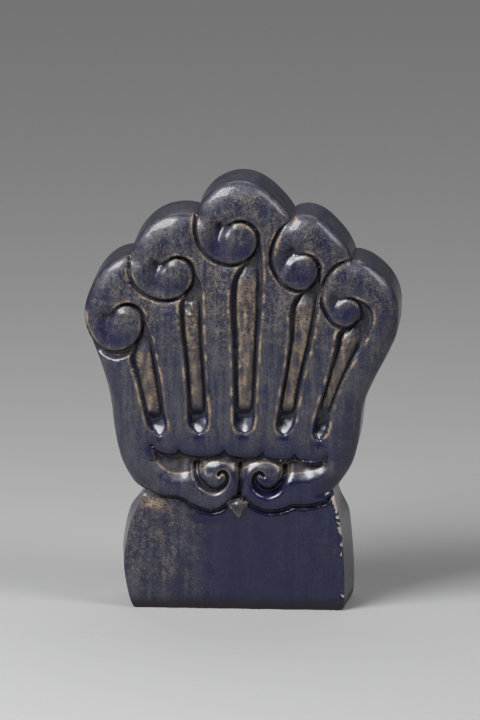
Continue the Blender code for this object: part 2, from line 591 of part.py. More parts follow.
def add_apart(kept, more, gap):
    """Adds the points that lie further than the gap from every point kept so far."""
    cells = {}
    for point in kept.tolist():
        cells.setdefault((point[0] // gap, point[1] // gap), []).append(point)
    added = []
    for x, z in more.tolist():
        i, j = x // gap, z // gap
        around = (cells.get((i + di, j + dj), ()) for di in (-1, 0, 1) for dj in (-1, 0, 1))
        if all((x - a)**2 + (z - b)**2 > gap * gap for cell in around for a, b in cell):
            cells.setdefault((i, j), []).append([x, z])
            added.append([x, z])
    return np.vstack([kept, np.array(added)])


def drawing_sheet(line, radius, step):
    """The drawing's points and triangles, the outline's points first."""
    low, high = line.min(axis=0), line.max(axis=0)
    rows = np.arange(low[1], high[1], step * math.sqrt(3) / 2)
    seeds = []
    for i, z in enumerate(rows):
        xs = np.arange(low[0] + step * (i % 2) / 2, high[0], step)
        seeds.append(np.column_stack([xs, np.full(len(xs), z)]))
    carving = carving_seeds(step)
    carving = from_rim(carving[inside(carving, line)], line, radius)
    points = add_apart(line, carving, CARVING_SEED_GAP * step)
    points = add_apart(points, np.vstack(seeds), OPEN_SEED_GAP * step)
    new = points[len(line):]
    points = np.vstack([line, new[inside(new, line)]])
    ring = list(range(len(line)))
    edges = [(i, (i + 1) % len(line)) for i in ring]
    result = delaunay_2d_cdt([Vector(p) for p in points], edges, [ring], 1, CDT_TOLERANCE)
    return np.array([tuple(p) for p in result[0]]), np.array([face for face in result[2] if len(face) == 3])


def closed_mesh(name):
    """The whole tile: carved front, rounded rims, plain walls and back."""
    line, radius = outline()
    line, radius = evenly(line, radius, SEED_STEP)
    flat, faces = drawing_sheet(line, radius, SEED_STEP)
    a, b, c = (flat[faces[:, i]] for i in range(3))
    flipped = (b[:, 0] - a[:, 0]) * (c[:, 1] - a[:, 1]) - (b[:, 1] - a[:, 1]) * (c[:, 0] - a[:, 0]) < 0
    faces[flipped] = faces[flipped][:, ::-1]
    front, drop = to_rim(flat, line, radius)
    depth = drop + np.maximum(face_depth(front), 0) * (1 - np.clip(drop / FAN_RIM_DROP, 0, 1))
    back, back_drop = to_rim(flat, line, np.full(len(line), BACK_EDGE_RADIUS))
    count = len(flat)
    points = np.zeros((2 * count, 3))
    points[:count, [0, 2]] = front
    points[:count, 1] = depth - THICKNESS / 2
    points[count:, [0, 2]] = back
    points[count:, 1] = THICKNESS / 2 - back_drop
    ends = np.vstack([faces[:, [0, 1]], faces[:, [1, 2]], faces[:, [2, 0]]])
    keys = {tuple(end) for end in ends.tolist()}
    rim = [(i, j) for i, j in keys if (j, i) not in keys]
    walls = [(j, i, i + count, j + count) for i, j in rim]
    mesh = bpy.data.meshes.new(name)
    mesh.from_pydata(points.tolist(), [], faces.tolist() + (faces[:, ::-1] + count).tolist() + walls)
    return mesh


def flare_block(points):
    """Widens the block towards the back, by its flare on each side."""
    down = ease(points[:, 2], FLARE_TOP * UNIT, FLARE_FULL * UNIT)
    behind = np.clip(points[:, 1] / THICKNESS + 0.5, 0, 1)
    sideways = np.clip(points[:, 0] / (FLARE_HALF * UNIT), -1, 1)
    points[:, 0] += sideways * BLOCK_FLARE * behind * down
    return points


def material():
    """Deep blue glaze."""
    glaze = bpy.data.materials.new("blue_glaze")
    glaze.use_nodes = True
    shader = glaze.node_tree.nodes["Principled BSDF"]
    shader.inputs["Base Color"].default_value = (0.028, 0.034, 0.085, 1)
    shader.inputs["Roughness"].default_value = 0.28
    shader.inputs["Metallic"].default_value = 0.0
    return glaze


def build():
    for thing in list(bpy.data.objects):
        bpy.data.objects.remove(thing, do_unlink=True)
    fine = bpy.data.objects.new("fine_tile", closed_mesh("fine_tile"))
    bpy.context.scene.collection.objects.link(fine)
    thinner = fine.modifiers.new("thinner", "DECIMATE")
    fine.data.calc_loop_triangles()
    thinner.ratio = KEPT_TRIANGLES / len(fine.data.loop_triangles)
    bpy.context.view_layer.update()
    thinned = fine.evaluated_get(bpy.context.evaluated_depsgraph_get())
    mesh = bpy.data.meshes.new_from_object(thinned)
    mesh.name = "roof_ornament"
    points = np.empty(len(mesh.vertices) * 3)
    mesh.vertices.foreach_get("co", points)
    points = flare_block(points.reshape(-1, 3))
    points[:, :2] -= (points[:, :2].min(axis=0) + points[:, :2].max(axis=0)) / 2
    points[np.abs(points[:, 2]) < FOOT_FLAT_TOLERANCE, 2] = 0
    mesh.vertices.foreach_set("co", points.ravel())
    mesh.shade_smooth()
    mesh.set_sharp_from_angle(angle=math.radians(SMOOTH_ANGLE))
    mesh.materials.append(material())
    bpy.data.objects.remove(fine)
    tile = bpy.data.objects.new("roof_ornament", mesh)
    bpy.context.scene.collection.objects.link(tile)


build()
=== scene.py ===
"""Glazed ridge ornament: its carved clay body under a deep blue glaze, on a pale studio floor.

The body is drawn flat in hundredths of its height, with X from the fan's middle and Z from the underside. It
is meshed finer than the frame's solid: the same carving, with the glaze's pools and thin edges, its pits, its
worn corners and the marks of the hand. Shade is painted into its cuts, under its edges and where the petals
round under, and highlight onto some crests.
"""
import math

import bpy
import numpy as np
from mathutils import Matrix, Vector
from mathutils.geometry import delaunay_2d_cdt


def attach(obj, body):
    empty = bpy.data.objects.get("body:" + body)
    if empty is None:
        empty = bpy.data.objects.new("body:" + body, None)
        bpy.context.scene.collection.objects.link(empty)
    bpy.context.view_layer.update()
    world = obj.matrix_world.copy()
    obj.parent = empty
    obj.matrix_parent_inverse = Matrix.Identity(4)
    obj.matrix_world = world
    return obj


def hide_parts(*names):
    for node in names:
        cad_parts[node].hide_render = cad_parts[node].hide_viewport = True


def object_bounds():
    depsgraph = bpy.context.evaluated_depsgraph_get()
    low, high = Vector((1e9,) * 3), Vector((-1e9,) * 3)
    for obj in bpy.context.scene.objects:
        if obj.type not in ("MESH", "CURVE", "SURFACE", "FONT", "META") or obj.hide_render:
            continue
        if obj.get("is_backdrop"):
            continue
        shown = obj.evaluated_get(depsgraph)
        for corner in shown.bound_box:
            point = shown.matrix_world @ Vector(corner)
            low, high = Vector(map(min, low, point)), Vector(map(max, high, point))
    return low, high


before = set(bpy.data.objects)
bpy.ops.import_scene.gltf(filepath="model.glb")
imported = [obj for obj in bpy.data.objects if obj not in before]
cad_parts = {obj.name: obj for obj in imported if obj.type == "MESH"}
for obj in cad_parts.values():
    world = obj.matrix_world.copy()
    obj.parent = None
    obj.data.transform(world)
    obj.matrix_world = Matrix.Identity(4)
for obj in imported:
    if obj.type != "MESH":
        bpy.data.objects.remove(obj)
cad_low, cad_high = (np.array(corner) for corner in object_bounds())

# Overall sizes, in metres
HEIGHT = 0.240
THICKNESS = 0.044
FAN_RIM_RADIUS = 0.0135
FAN_RIM_DROP = 0.0085
BLOCK_EDGE_RADIUS = 0.0016
BLOCK_FOOT_RADIUS = 0.0013
BACK_EDGE_RADIUS = 0.0016
BLOCK_FLARE = 0.0040
HEM_FALL = 0.0006
HEM_HEIGHT = 0.0045
BLOCK_SETBACK = 0.0034

# Where the block widens towards the back, on the drawing: its top, the height it takes, and the half width
FLARE_TOP = 26
FLARE_FALL = 6
FLARE_HALF = 25

# The glaze off the carved front: how wiped and crawled the back is, and how soon marks and bare clay fade on
# the walls, as powers of the way left to the back
BACK_WIPED = 0.15
BACK_ROUGH = 0.4
MARK_FADE = 2
BARE_FADE = 9

# Sizes of the carving, in metres
FACE_MARGIN = 0.0010
SCROLL_RISE = 0.0010
SCROLL_RISE_REACH = 0.0050
NEIGHBOUR_SINK = 0.0022
NEIGHBOUR_SINK_REACH = 0.0045
GROOVE_WIDTH = 0.0026
GROOVE_DEPTH = 0.0022
SCROLL_EDGE_RADIUS = 0.0062
SCROLL_EDGE_DROP = 0.0033
KNOB_DOME = 0.0030
CREST_RISE = 0.0009
VALLEY_WIDTH = 0.0085
VALLEY_DEPTH = 0.0022
SLOT_DEPTH = 0.0046
SLOT_WALL = 0.0022
RIB_DEPTH = 0.0021
SCOOP_WALL = 0.0023
SCOOP_FLOOR = 0.0060
SCOOP_START = 0.0010
SCOOP_BLEND = 0.0003
SCOOP_REACH = 0.0040
SCOOP_DEPTH = 0.0010
RECESS_DEPTH = 0.0062
RECESS_WALL = 0.0017
PETAL_FOOT_DROP = 0.0030
PETAL_FOOT_RADIUS = 0.0052
BAND_EDGE_DROP = 0.0030
BAND_EDGE_RADIUS = 0.0058
FAN_FOOT_RADIUS = 0.0030
SHADOW_LINE_WIDTH = 0.0024
SHADOW_LINE_DEPTH = 0.0014
FOOT_STEP = 0.0009
VOLUTE_RISE = 0.0009
VOLUTE_GROOVE_DEPTH = 0.0026
VOLUTE_EDGE_RADIUS = 0.0034
PARTING_WIDTH = 0.0022
LEDGE_WIDTH = 0.0046
LEDGE_DEPTH = 0.0028
BUD_HEIGHT = 0.0040
BEAD_HEIGHT = 0.00035
BEAD_REACH = 0.0008
PETAL_FALL = 0.0005
PETAL_FALL_REACH = 0.0045
LEAST_DEPTH = 0.00006
CHIP_DEPTH = 0.0006
LUMP_HEIGHT = 0.0006
HAND_WAVE = 0.00022
HAND_RIPPLE = 0.00006
NICK_WIDTH = 0.0013
NICK_DEPTH = 0.0009

# The slope of a scoop's bright facet upward and sideways, its curve per metre, the walls' lean as a share of
# a cut's depth, and how strong the tan is on a rib
SCOOP_FALL = 0.62
SCOOP_LEAN = 0.32
SCOOP_CURVE = 8
WALL_LEAN = 0.45
RIB_TAN = 0.65

# How the carving runs out: degrees along a curl, points along its edge and valley, points along a rib
CURL_OVERLAP = 10
EDGE_FADE_IN = 20
EDGE_FADE_OUT = 8
KNOB_FADE_IN = 30
KNOB_FADE = 60
VALLEY_TURN = 110
VALLEY_FADE = 10
VALLEY_SPREAD = 1.25
RIB_FADE_FOOT = 7
RIB_FADE_TOP = 10

# A knob's radius on the drawing, its crest's bearing, and the crest's middle and reach as shares of the
# curl's last radius
KNOB_RADIUS = 4.9
CREST_ANGLE = 120
CREST_AT = 0.72
CREST_REACH = 0.20

# Over a slot's foot, in metres: where the scoop begins and where it is full, its dip and its pool of glaze,
# each with its place from the foot and its shape, and the pool's reach
SCOOP_TOP = 0.0145
SCOOP_FULL = 0.0085
DIP = ((0, 0.0030), (1.0, 1.35))
CRESCENT = ((0, -0.0016), (1.3, 0.7))
CRESCENT_REACH = 0.0030
LEAST_SCOOP = 0.0008

# A slot's walls, as a share of its half width, and where its rib rises, as shares of the same
WALL_SHARE = 0.20
LEAST_WALL = 0.0007
RIB_SHOULDER = (0.24, 0.46)
RIB_CROWN = (0.4, 1)

# How strong the thinned glaze is along a curl's edge, and its reach in metres, left and right of the middle.
# On the right the lip is stronger and wider, and there it is also a painted highlight on the curls' lit
# crests.
LEFT_LIP = (0.85, 0.0011)
RIGHT_LIP = (1.0, 0.0016)
CURL_LIP_AWAY = 0.0022
NEIGHBOUR_LIP_AWAY = 0.0018
NEIGHBOUR_LIP_REACH = 0.0010
SLOT_LIP_AWAY = 0.0007
SLOT_LIP_REACH = 0.0015

# How finely the body is meshed: steps and reaches in metres, gaps as shares of a step, an angle in degrees
RIM_STEP = 0.00105
FINE_STEP = 0.00056
OPEN_STEP = 0.00110
BACK_STEP = 0.0030
BACK_RINGS = (-0.0006, -0.0012, -0.0019, -0.0027)
BACK_RING_STEP = 0.0011
BACK_SEED_GAP = 0.6
FINE_REACH = 0.0021
WALL_RINGS = 24
RIM_REACH = 2.0
RIM_CLEARANCE = 0.00030
SEED_GAP = 0.55
CDT_TOLERANCE = 1e-7
CURVE_STEP = 0.0012
CORNER_ANGLE = 25
NEAR_REACH = 0.02
NEAR_BLOCK = 1500
BOX_INSET = 0.00002
SHORTEST = 1e-7
TINY = 1e-18
TOUCHING = 1e-9

# What the glaze did at each point of the body, and where shade and highlight are painted on
MARKS = ("thin", "pool", "clear", "dark", "rough", "bare")

# One hundredth of the height, and the degrees between a curl's radii and between its points
UNIT = HEIGHT / 100
EIGHTH = 45.0
CURL_STEP = 5

# Each cloud's curl: its eye, the angle of its first radius, a radius for every eighth of a turn, and its end
SCROLLS = (
    {"eye": (-26.6, 66.4), "first": 45, "end": 510,
     "radii": (16.3, 15.8, 11.4, 9.3, 8.0, 5.9, 4.6, 4.2, 4.9, 4.9, 4.2, 3.6)},
    {"eye": (-15.5, 77.6), "first": 45, "end": 495,
     "radii": (15.8, 14.7, 12.1, 10.0, 6.9, 5.1, 4.7, 4.8, 5.2, 4.8, 3.9, 3.8)},
    {"eye": (-0.5, 86.3), "first": 0, "end": 495,
     "radii": (13.4, 12.6, 13.7, 12.3, 9.6, 7.1, 5.3, 4.7, 4.6, 4.7, 4.8, 4.6)},
    {"eye": (13.7, 79.7), "first": 0, "end": 470,
     "radii": (12.0, 11.5, 12.6, 8.9, 6.4, 5.2, 4.9, 4.5, 4.3, 4.2, 3.9, 3.7)},
    {"eye": (24.0, 70.4), "first": 0, "end": 480,
     "radii": (11.9, 11.5, 11.4, 7.7, 5.0, 4.2, 4.0, 3.7, 3.8, 3.4, 3.0, 2.7)},
)
NECK_ANGLE = 300
GAP_TAPER = 75

# Each slot under a curl: the angle where its right edge leaves the curl, its two edges, its foot and its rib
SLOTS = (
    {"leaves": 370, "right": ((-20.4, 63.5), (-19.5, 58.8), (-18.4, 53.0), (-17.7, 47.2), (-17.0, 42.8)),
     "foot": (-18.7, 40.6), "left": ((-21.3, 42.8), (-22.8, 48.3), (-23.8, 53.0), (-25.5, 58.4)),
     "rib": ((-23.0, 63.8), (-21.5, 52.8), (-20.6, 48.2), (-19.5, 43.9))},
    {"leaves": 370, "right": ((-9.0, 75.2), (-8.7, 64.7), (-8.3, 56.5), (-7.9, 49.5), (-7.6, 43.4)),
     "foot": (-9.7, 41.2), "left": ((-12.0, 43.2), (-12.5, 49.5), (-12.9, 57.2), (-13.9, 64.7),
                                       (-14.2, 70.8)),
     "rib": ((-11.4, 73.4), (-11.1, 62.2), (-10.4, 54.0), (-10.0, 45.1))},
    {"leaves": 370, "right": ((5.0, 79.9), (4.7, 70.5), (4.0, 61.2), (3.3, 49.5), (2.8, 43.4)),
     "foot": (0.7, 41.4), "left": ((-1.5, 43.2), (-1.8, 49.5), (-2.1, 61.2), (-2.3, 76.1)),
     "rib": ((1.2, 81.0), (1.1, 68.0), (1.4, 61.0), (1.1, 52.8), (0.8, 45.3))},
    {"leaves": 370, "right": ((18.0, 74.0), (16.4, 63.5), (14.6, 56.5), (13.0, 48.3), (12.0, 43.4)),
     "foot": (9.8, 41.2), "left": ((8.0, 43.2), (8.9, 49.5), (10.1, 56.5), (11.0, 63.5), (11.5, 72.0)),
     "rib": ((15.2, 75.4), (13.7, 65.7), (12.6, 59.9), (11.2, 51.7), (10.1, 45.1))},
    {"leaves": 420, "right": ((29.0, 72.0), (30.3, 69.4), (29.5, 65.8), (27.4, 61.8), (24.4, 56.4),
                              (22.4, 51.8), (20.6, 46.6), (19.9, 42.6)),
     "foot": (17.9, 40.0), "left": ((16.4, 42.2), (17.8, 48.3), (19.6, 54.2), (21.5, 62.3), (22.2, 65.4)),
     "rib": ((26.9, 67.6), (24.0, 60.6), (22.2, 56.4), (20.3, 51.2), (18.7, 45.6))},
)

# The fan's sides, from a curl down to the block
LEFT_SIDE_ANGLE = 206
LEFT_SIDE = ((-32.6, 58.0), (-30.8, 52.3), (-29.9, 47.7), (-29.2, 41.8), (-28.0, 36.0), (-26.4, 32.2),
             (-24.4, 29.2), (-22.2, 27.6))
RIGHT_SIDE = ((20.9, 28.2), (22.9, 30.5), (25.4, 34.7), (26.8, 39.9), (27.9, 48.0), (30.2, 53.9),
              (33.8, 60.9), (35.6, 65.5))
BLOCK_LEFT = ((-22.8, 26.4), (-23.9, 23.6), (-25.6, 18.9), (-26.7, 13.0), (-26.8, 9.0), (-26.0, 4.0),
              (-25.1, 1.0), (-24.4, 0.0))
BLOCK_RIGHT = ((22.7, 0.0), (23.3, 1.0), (23.5, 4.8), (23.4, 9.5), (22.9, 16.5), (22.2, 22.3), (21.4, 26.4))

# The fan's lower edge over the block, and the recess: its scallops, its middle's height and its lower lips
FOOT_EDGE = ((-22.6, 28.6), (-19.6, 27.0), (-17.4, 26.5), (-15.1, 26.5), (-13.4, 26.0), (-11.7, 24.9),
             (-9.4, 23.8), (-7.1, 23.3), (-5.5, 23.6), (-3.9, 24.6), (-2.4, 26.0), (-0.8, 26.7), (0.9, 26.3),
             (2.1, 25.2), (3.4, 24.3), (5.5, 23.5), (7.8, 23.5), (9.9, 24.0), (11.6, 24.8), (13.5, 24.8),
             (15.3, 24.9), (17.4, 25.3), (19.2, 26.0), (21.6, 28.6))
SCALLOP_CUSPS = ((-20.6, 38.2), (-14.4, 37.2), (-3.9, 37.2), (4.8, 36.9), (12.3, 36.5), (19.4, 36.0))
SCALLOP_SAG = 1.5
SCALLOP_POINTS = 16
RECESS_LEVEL = 35.3
RECESS_FOOT = ((19.0, 34.6), (17.6, 33.4), (15.0, 32.7), (12.4, 32.5), (10.4, 32.2), (9.2, 33.4), (7.0, 34.7),
               (4.7, 34.9), (2.4, 34.5), (0.6, 33.5), (-0.3, 32.6), (-1.2, 33.5), (-3.0, 34.5), (-5.3, 34.9),
               (-7.4, 34.5), (-9.0, 33.2), (-10.8, 32.8), (-13.0, 32.1), (-16.0, 32.2),
               (-18.4, 33.6), (-20.0, 35.4))

# Each volute's groove runs in from the recess and winds round the volute's eye, its widths in metres
VOLUTES = (
    {"eye": (-5.0, 30.9), "first": 150, "turn": 1, "radii": (6.2, 4.3, 3.2, 2.1, 1.8, 1.9, 1.8, 0.9),
     "widths": (0.0036, 0.0040, 0.0032, 0.0024, 0.0021, 0.0019, 0.0016)},
    {"eye": (4.9, 30.8), "first": 30, "turn": -1, "radii": (5.8, 4.2, 3.4, 2.4, 1.9, 1.9, 1.8, 1.0),
     "widths": (0.0024, 0.0036, 0.0048, 0.0040, 0.0024, 0.0019, 0.0016)},
)
VOLUTE_RADIUS = 4.6
VOLUTE_PARTING = ((-0.3, 34.0), (-0.2, 32.0), (-0.2, 29.5), (-0.6, 26.4))

# The ledge under the left curl, where the left band begins
LEDGE = ((-33.8, 61.6), (-31.4, 59.9), (-28.6, 59.3), (-25.6, 60.3))
BUD = ((-3.6, 25.2), (-0.9, 26.3), (1.6, 25.2), (-0.6, 21.5))
BUD_TIP = (-0.8, 24.6)

# Marks on the drawing. Each oval has its middle, half width, half height and turn. The chips and the volutes'
# hollows also have a depth in metres, and the nicks are lines.
CHIPS = (
    (-35.9, 67.6, 0.8, 2.7, 0, 0.0012),
    (-35.6, 64.4, 0.5, 0.9, 0, 0.0008),
)
BLISTERS = (-12.2, 67.5, 2.6, 6.5, 0)
LUMPS = (-0.6, 60.0, 1.6, 9.0, 0)
SCUFF = (-19.9, 24.5, 5.0, 2.2, -12)
SMEAR = (-7.3, 21.3, 4.4, 1.5, -4)
NICKS = (
    ((-7.5, 51.6), (-7.0, 50.6), (-6.4, 49.7)),
    ((-17.2, 53.0), (-16.9, 51.8), (-16.4, 50.8)),
    ((-19.2, 36.6), (-17.6, 35.9), (-16.4, 35.7)),
)
POOLS = (
    (-19.4, 76.0, 3.2, 1.8, -25),
    (-15.0, 75.6, 4.2, 2.2, -5),
    (-6.3, 84.6, 4.0, 2.2, -40),
    (0.2, 83.6, 4.4, 2.4, 15),
    (-27.8, 63.4, 4.6, 2.8, 0),
    (14.4, 78.2, 5.0, 4.2, 10),
    (24.7, 69.4, 4.6, 4.0, 10),
    (7.0, 28.0, 2.4, 1.4, 10),
)
HOLLOWS = (
    (-6.8, 32.3, 1.3, 0.8, 10, 0.0013),
    (6.8, 31.8, 0.9, 1.5, -15, 0.0013),
    (6.9, 28.4, 2.2, 1.1, 5, 0.0012),
)


def between(t, start, end, slope_in, slope_out):
    """A smooth curve's place at the share t of its way from start to end."""
    return ((2 * t**3 - 3 * t**2 + 1) * start + (t**3 - 2 * t**2 + t) * slope_in
            + (3 * t**2 - 2 * t**3) * end + (t**3 - t**2) * slope_out)


def smooth_line(points):
    """A smooth line through the points, sampled every curve step or so."""
    points = np.asarray(points, float)
    before = np.vstack([2 * points[0] - points[1], points[:-1]])
    after = np.vstack([points[1:], 2 * points[-1] - points[-2]])
    slope = (after - before) / 2
    line = []
    for i in range(len(points) - 1):
        count = max(2, math.ceil(np.linalg.norm(points[i + 1] - points[i]) / CURVE_STEP))
        t = np.arange(count)[:, None] / count
        line.append(between(t, points[i], points[i + 1], slope[i], slope[i + 1]))
    return np.vstack(line + [points[-1:]])


def drawn(points):
    """Points of the drawing, in metres."""
    return np.asarray(points, float) * UNIT


def drawn_line(points):
    return smooth_line(drawn(points))


def curl_radius(scroll, angle):
    """The curl's radius at an angle, smooth between the eighths of its turn."""
    eighths = np.abs(np.asarray(angle, float) - scroll["first"]) / EIGHTH
    radii = np.asarray(scroll["radii"], float) * UNIT
    padded = np.concatenate([[2 * radii[0] - radii[1]], radii, [2 * radii[-1] - radii[-2]]])
    i = np.clip(np.floor(eighths).astype(int), 0, len(radii) - 2)
    t = eighths - i
    slope_in = (padded[i + 2] - padded[i]) / 2
    slope_out = (padded[i + 3] - padded[i + 1]) / 2
    return between(t, padded[i + 1], padded[i + 2], slope_in, slope_out)


def ways(degrees):
    """The unit vector at each angle."""
    turn = np.radians(degrees)
    return np.stack([np.cos(turn), np.sin(turn)], axis=1)


def curl_places(scroll, angle, outward=0.0):
    return drawn(scroll["eye"]) + (curl_radius(scroll, angle) + outward)[:, None] * ways(angle)


def curl(scroll, first, last, outward=0.0):
    """The curl's line from one angle to another, moved outward by a distance that may vary along it."""
    angle = np.linspace(first, last, max(3, round(abs(last - first) / CURL_STEP) + 1))
    return curl_places(scroll, angle, outward)


def crossing(first, second):
    """Where two lines cross: the index along the first, the index along the second, and the place."""
    for i in range(len(first) - 1):
        a, b = first[i], first[i + 1] - first[i]
        c, d = second[:-1], second[1:] - second[:-1]
        cross = b[0] * d[:, 1] - b[1] * d[:, 0]
        cross = np.where(np.abs(cross) < TINY, TINY, cross)
        t = ((c[:, 0] - a[0]) * d[:, 1] - (c[:, 1] - a[1]) * d[:, 0]) / cross
        u = ((c[:, 0] - a[0]) * b[1] - (c[:, 1] - a[1]) * b[0]) / cross
        hit = np.flatnonzero((t >= 0) & (t <= 1) & (u >= 0) & (u <= 1))
        if len(hit):
            return i, int(hit[0]), a + t[hit[0]] * b
    raise ValueError("two lines of the drawing no longer cross")


def near(points, line, closed=False, reach=NEAR_REACH):
    """For each point: its distance to the line, the nearest place on it, and the place's index along it.

    Points further than the reach from all of the line are given the reach as their distance.
    """
    if closed:
        line = np.vstack([line, line[:1]])
    start, run = line[:-1], line[1:] - line[:-1]
    squared = np.maximum((run**2).sum(axis=1), TINY)
    distance = np.full(len(points), reach)
    place = np.array(points)
    index = np.zeros(len(points))
    low, high = line.min(axis=0) - reach, line.max(axis=0) + reach
    chosen = np.flatnonzero(((points > low) & (points < high)).all(axis=1))
    left, right = np.minimum(line[:-1], line[1:]), np.maximum(line[:-1], line[1:])
    for first in range(0, len(chosen), NEAR_BLOCK):
        rows = chosen[first:first + NEAR_BLOCK]
        block = points[rows]
        by = ((right > block.min(axis=0) - reach) & (left < block.max(axis=0) + reach)).all(axis=1)
        by = np.flatnonzero(by)
        if not len(by):
            continue
        from_start = block[:, None] - start[by]
        t = np.clip((from_start * run[by]).sum(axis=2) / squared[by], 0, 1)
        away = from_start - t[:, :, None] * run[by]
        away = np.hypot(away[:, :, 0], away[:, :, 1])
        best = away.argmin(axis=1)
        count = np.arange(len(block))
        found = away[count, best] < reach
        rows, best, count = rows[found], best[found], count[found]
        distance[rows] = away[count, best]
        place[rows] = start[by[best]] + t[count, best][:, None] * run[by[best]]
        index[rows] = by[best] + t[count, best]
    return distance, place, index


def inside(points, polygon):
    """True for each point inside the closed polygon."""
    found = np.zeros(len(points), bool)
    x, z = points.T
    for a, b in zip(polygon, np.roll(polygon, -1, axis=0)):
        spans = (a[1] > z) != (b[1] > z)
        rise = b[1] - a[1] if b[1] != a[1] else TINY
        found ^= spans & (x < a[0] + (z - a[1]) * (b[0] - a[0]) / rise)
    return found


def rounding(distance, radius):
    """How far a rounded edge has dropped, at a distance in from it."""
    return radius - np.sqrt(np.maximum(radius**2 - np.clip(radius - distance, 0, radius)**2, 0))


def hollow(distance, wall, depth):
    """A hollow's depth, at a distance in from its edge."""
    return depth * np.sin(np.clip(distance / wall, 0, 1) * math.pi / 2)


def groove(distance, width, depth):
    """A round groove's depth, at a distance from its middle."""
    return depth * np.clip(1 - (2 * distance / width)**2, 0, 1)


def ease(value, low, high):
    """From 0 at low to 1 at high, flat at both ends."""
    t = np.clip((value - low) / (high - low), 0, 1)
    return t * t * (3 - 2 * t)


def bell(distance, reach):
    """1 at the middle, fading to nothing past the reach."""
    return np.exp(-(distance / reach)**2)


def ripple(points, wavelength, seed):
    """A smooth unevenness between about -1 and 1, of a rough wavelength, the same for every run."""
    draw = np.random.default_rng(seed)
    total = np.zeros(len(points))
    waves = 18
    for _ in range(waves):
        way = draw.normal(size=points.shape[1])
        way *= 2 * math.pi / (wavelength * draw.uniform(0.7, 1.5)) / np.linalg.norm(way)
        total += np.sin(points @ way + draw.uniform(0, 2 * math.pi))
    return total / math.sqrt(waves)


def neighbours():
    """The curls' lines, and where each crosses the next one's to its right."""
    curls = [curl(scroll, scroll["first"], scroll["end"]) for scroll in SCROLLS]
    return curls, [crossing(left[::-1], right) for left, right in zip(curls, curls[1:])]


def outline():
    """The front's outline, round from the left curl, with the rim radius at each of its points."""
    curls, meets = neighbours()
    fan = []
    for k, line in enumerate(curls):
        first = len(line) - 1 - meets[k][0] if k < len(meets) else 0
        last = meets[k - 1][1] if k else round((LEFT_SIDE_ANGLE - SCROLLS[0]["first"]) / CURL_STEP)
        part = line[first:last + 1][::-1]
        if k < len(meets):
            part = np.vstack([part, meets[k][2]])
        fan.append(part)
    left_side = smooth_line(np.vstack([fan[0][0], drawn(LEFT_SIDE)]))[::-1]
    right_side = smooth_line(np.vstack([drawn(RIGHT_SIDE), fan[-1][-1]]))[::-1]
    block = np.vstack([drawn_line(BLOCK_RIGHT)[::-1], drawn_line(BLOCK_LEFT)[::-1]])
    block_radius = np.where(block[:, 1] < 2 * UNIT, BLOCK_FOOT_RADIUS, BLOCK_EDGE_RADIUS)
    line = np.vstack([left_side[:-1], *fan, right_side[1:]])
    return np.vstack([line, block]), np.concatenate([np.full(len(line), FAN_RIM_RADIUS), block_radius])


def notches():
    """The places where the left curls' edges run out at the rim."""
    return [place for _, _, place in neighbours()[1][:2]]


def evenly(line, radius, step):
    """The closed outline with points about one step apart, its corners kept."""
    ahead = np.roll(line, -1, axis=0) - line
    length = np.hypot(*ahead.T)
    line, radius, ahead, length = (array[length > SHORTEST] for array in (line, radius, ahead, length))
    behind = np.roll(ahead, 1, axis=0)
    turned = behind[:, 0] * ahead[:, 1] - behind[:, 1] * ahead[:, 0]
    turned = np.abs(np.arctan2(turned, (behind * ahead).sum(axis=1)))
    corners = np.flatnonzero(turned > math.radians(CORNER_ANGLE))
    kept, kept_radius = [], []
    for a, b in zip(corners, np.append(corners[1:], corners[0] + len(line))):
        order = np.arange(a, b + 1) % len(line)
        run = np.concatenate([[0], np.cumsum(length[order[:-1]])])
        at = np.linspace(0, run[-1], max(1, round(run[-1] / step)) + 1)[:-1]
        kept.append(np.column_stack([np.interp(at, run, axis) for axis in line[order].T]))
        kept_radius.append(np.interp(at, run, radius[order]))
    return np.vstack(kept), np.concatenate(kept_radius)


def slot_outline(scroll, slot):
    """A slot's closed outline: the tapering gap over the curl's knob, and the long slot below it."""
    gap = GROOVE_WIDTH / 2
    end = scroll["end"]
    over = np.linspace(end, slot["leaves"], round((end - slot["leaves"]) / CURL_STEP) + 1)
    outer = curl(scroll, over[0], over[-1], gap * np.clip((over[0] - over) / GAP_TAPER, 0, 1))
    around = np.linspace(NECK_ANGLE, end, round((end - NECK_ANGLE) / CURL_STEP) + 1)
    inner = curl(scroll, around[0], around[-1], -gap * np.clip((around[-1] - around) / GAP_TAPER, 0, 1))
    below = drawn([*slot["right"], slot["foot"], *slot["left"]])
    edges = np.vstack([outer[-2:], below, inner[:1]])
    return np.vstack([outer[:-2], smooth_line(edges)[:-1], inner[:-1]])


def recess_outline():
    """The recess under the petals: scallops above, the lower bands and the volutes below."""
    scallops = []
    for a, b in zip(SCALLOP_CUSPS, SCALLOP_CUSPS[1:]):
        t = np.linspace(0, 1, SCALLOP_POINTS + 1)[:-1]
        x = a[0] + (b[0] - a[0]) * t
        z = a[1] + (b[1] - a[1]) * t - SCALLOP_SAG * np.sqrt(np.maximum(1 - (2 * t - 1)**2, 0))
        scallops.append(drawn(np.stack([x, z], axis=1)))
    return np.vstack(scallops + [drawn([SCALLOP_CUSPS[-1]]), drawn_line(RECESS_FOOT)])


def volute_line(volute):
    count = len(volute["radii"])
    angle = volute["first"] + volute["turn"] * np.linspace(0, EIGHTH * (count - 1), 6 * count)
    return curl_places(volute, angle)


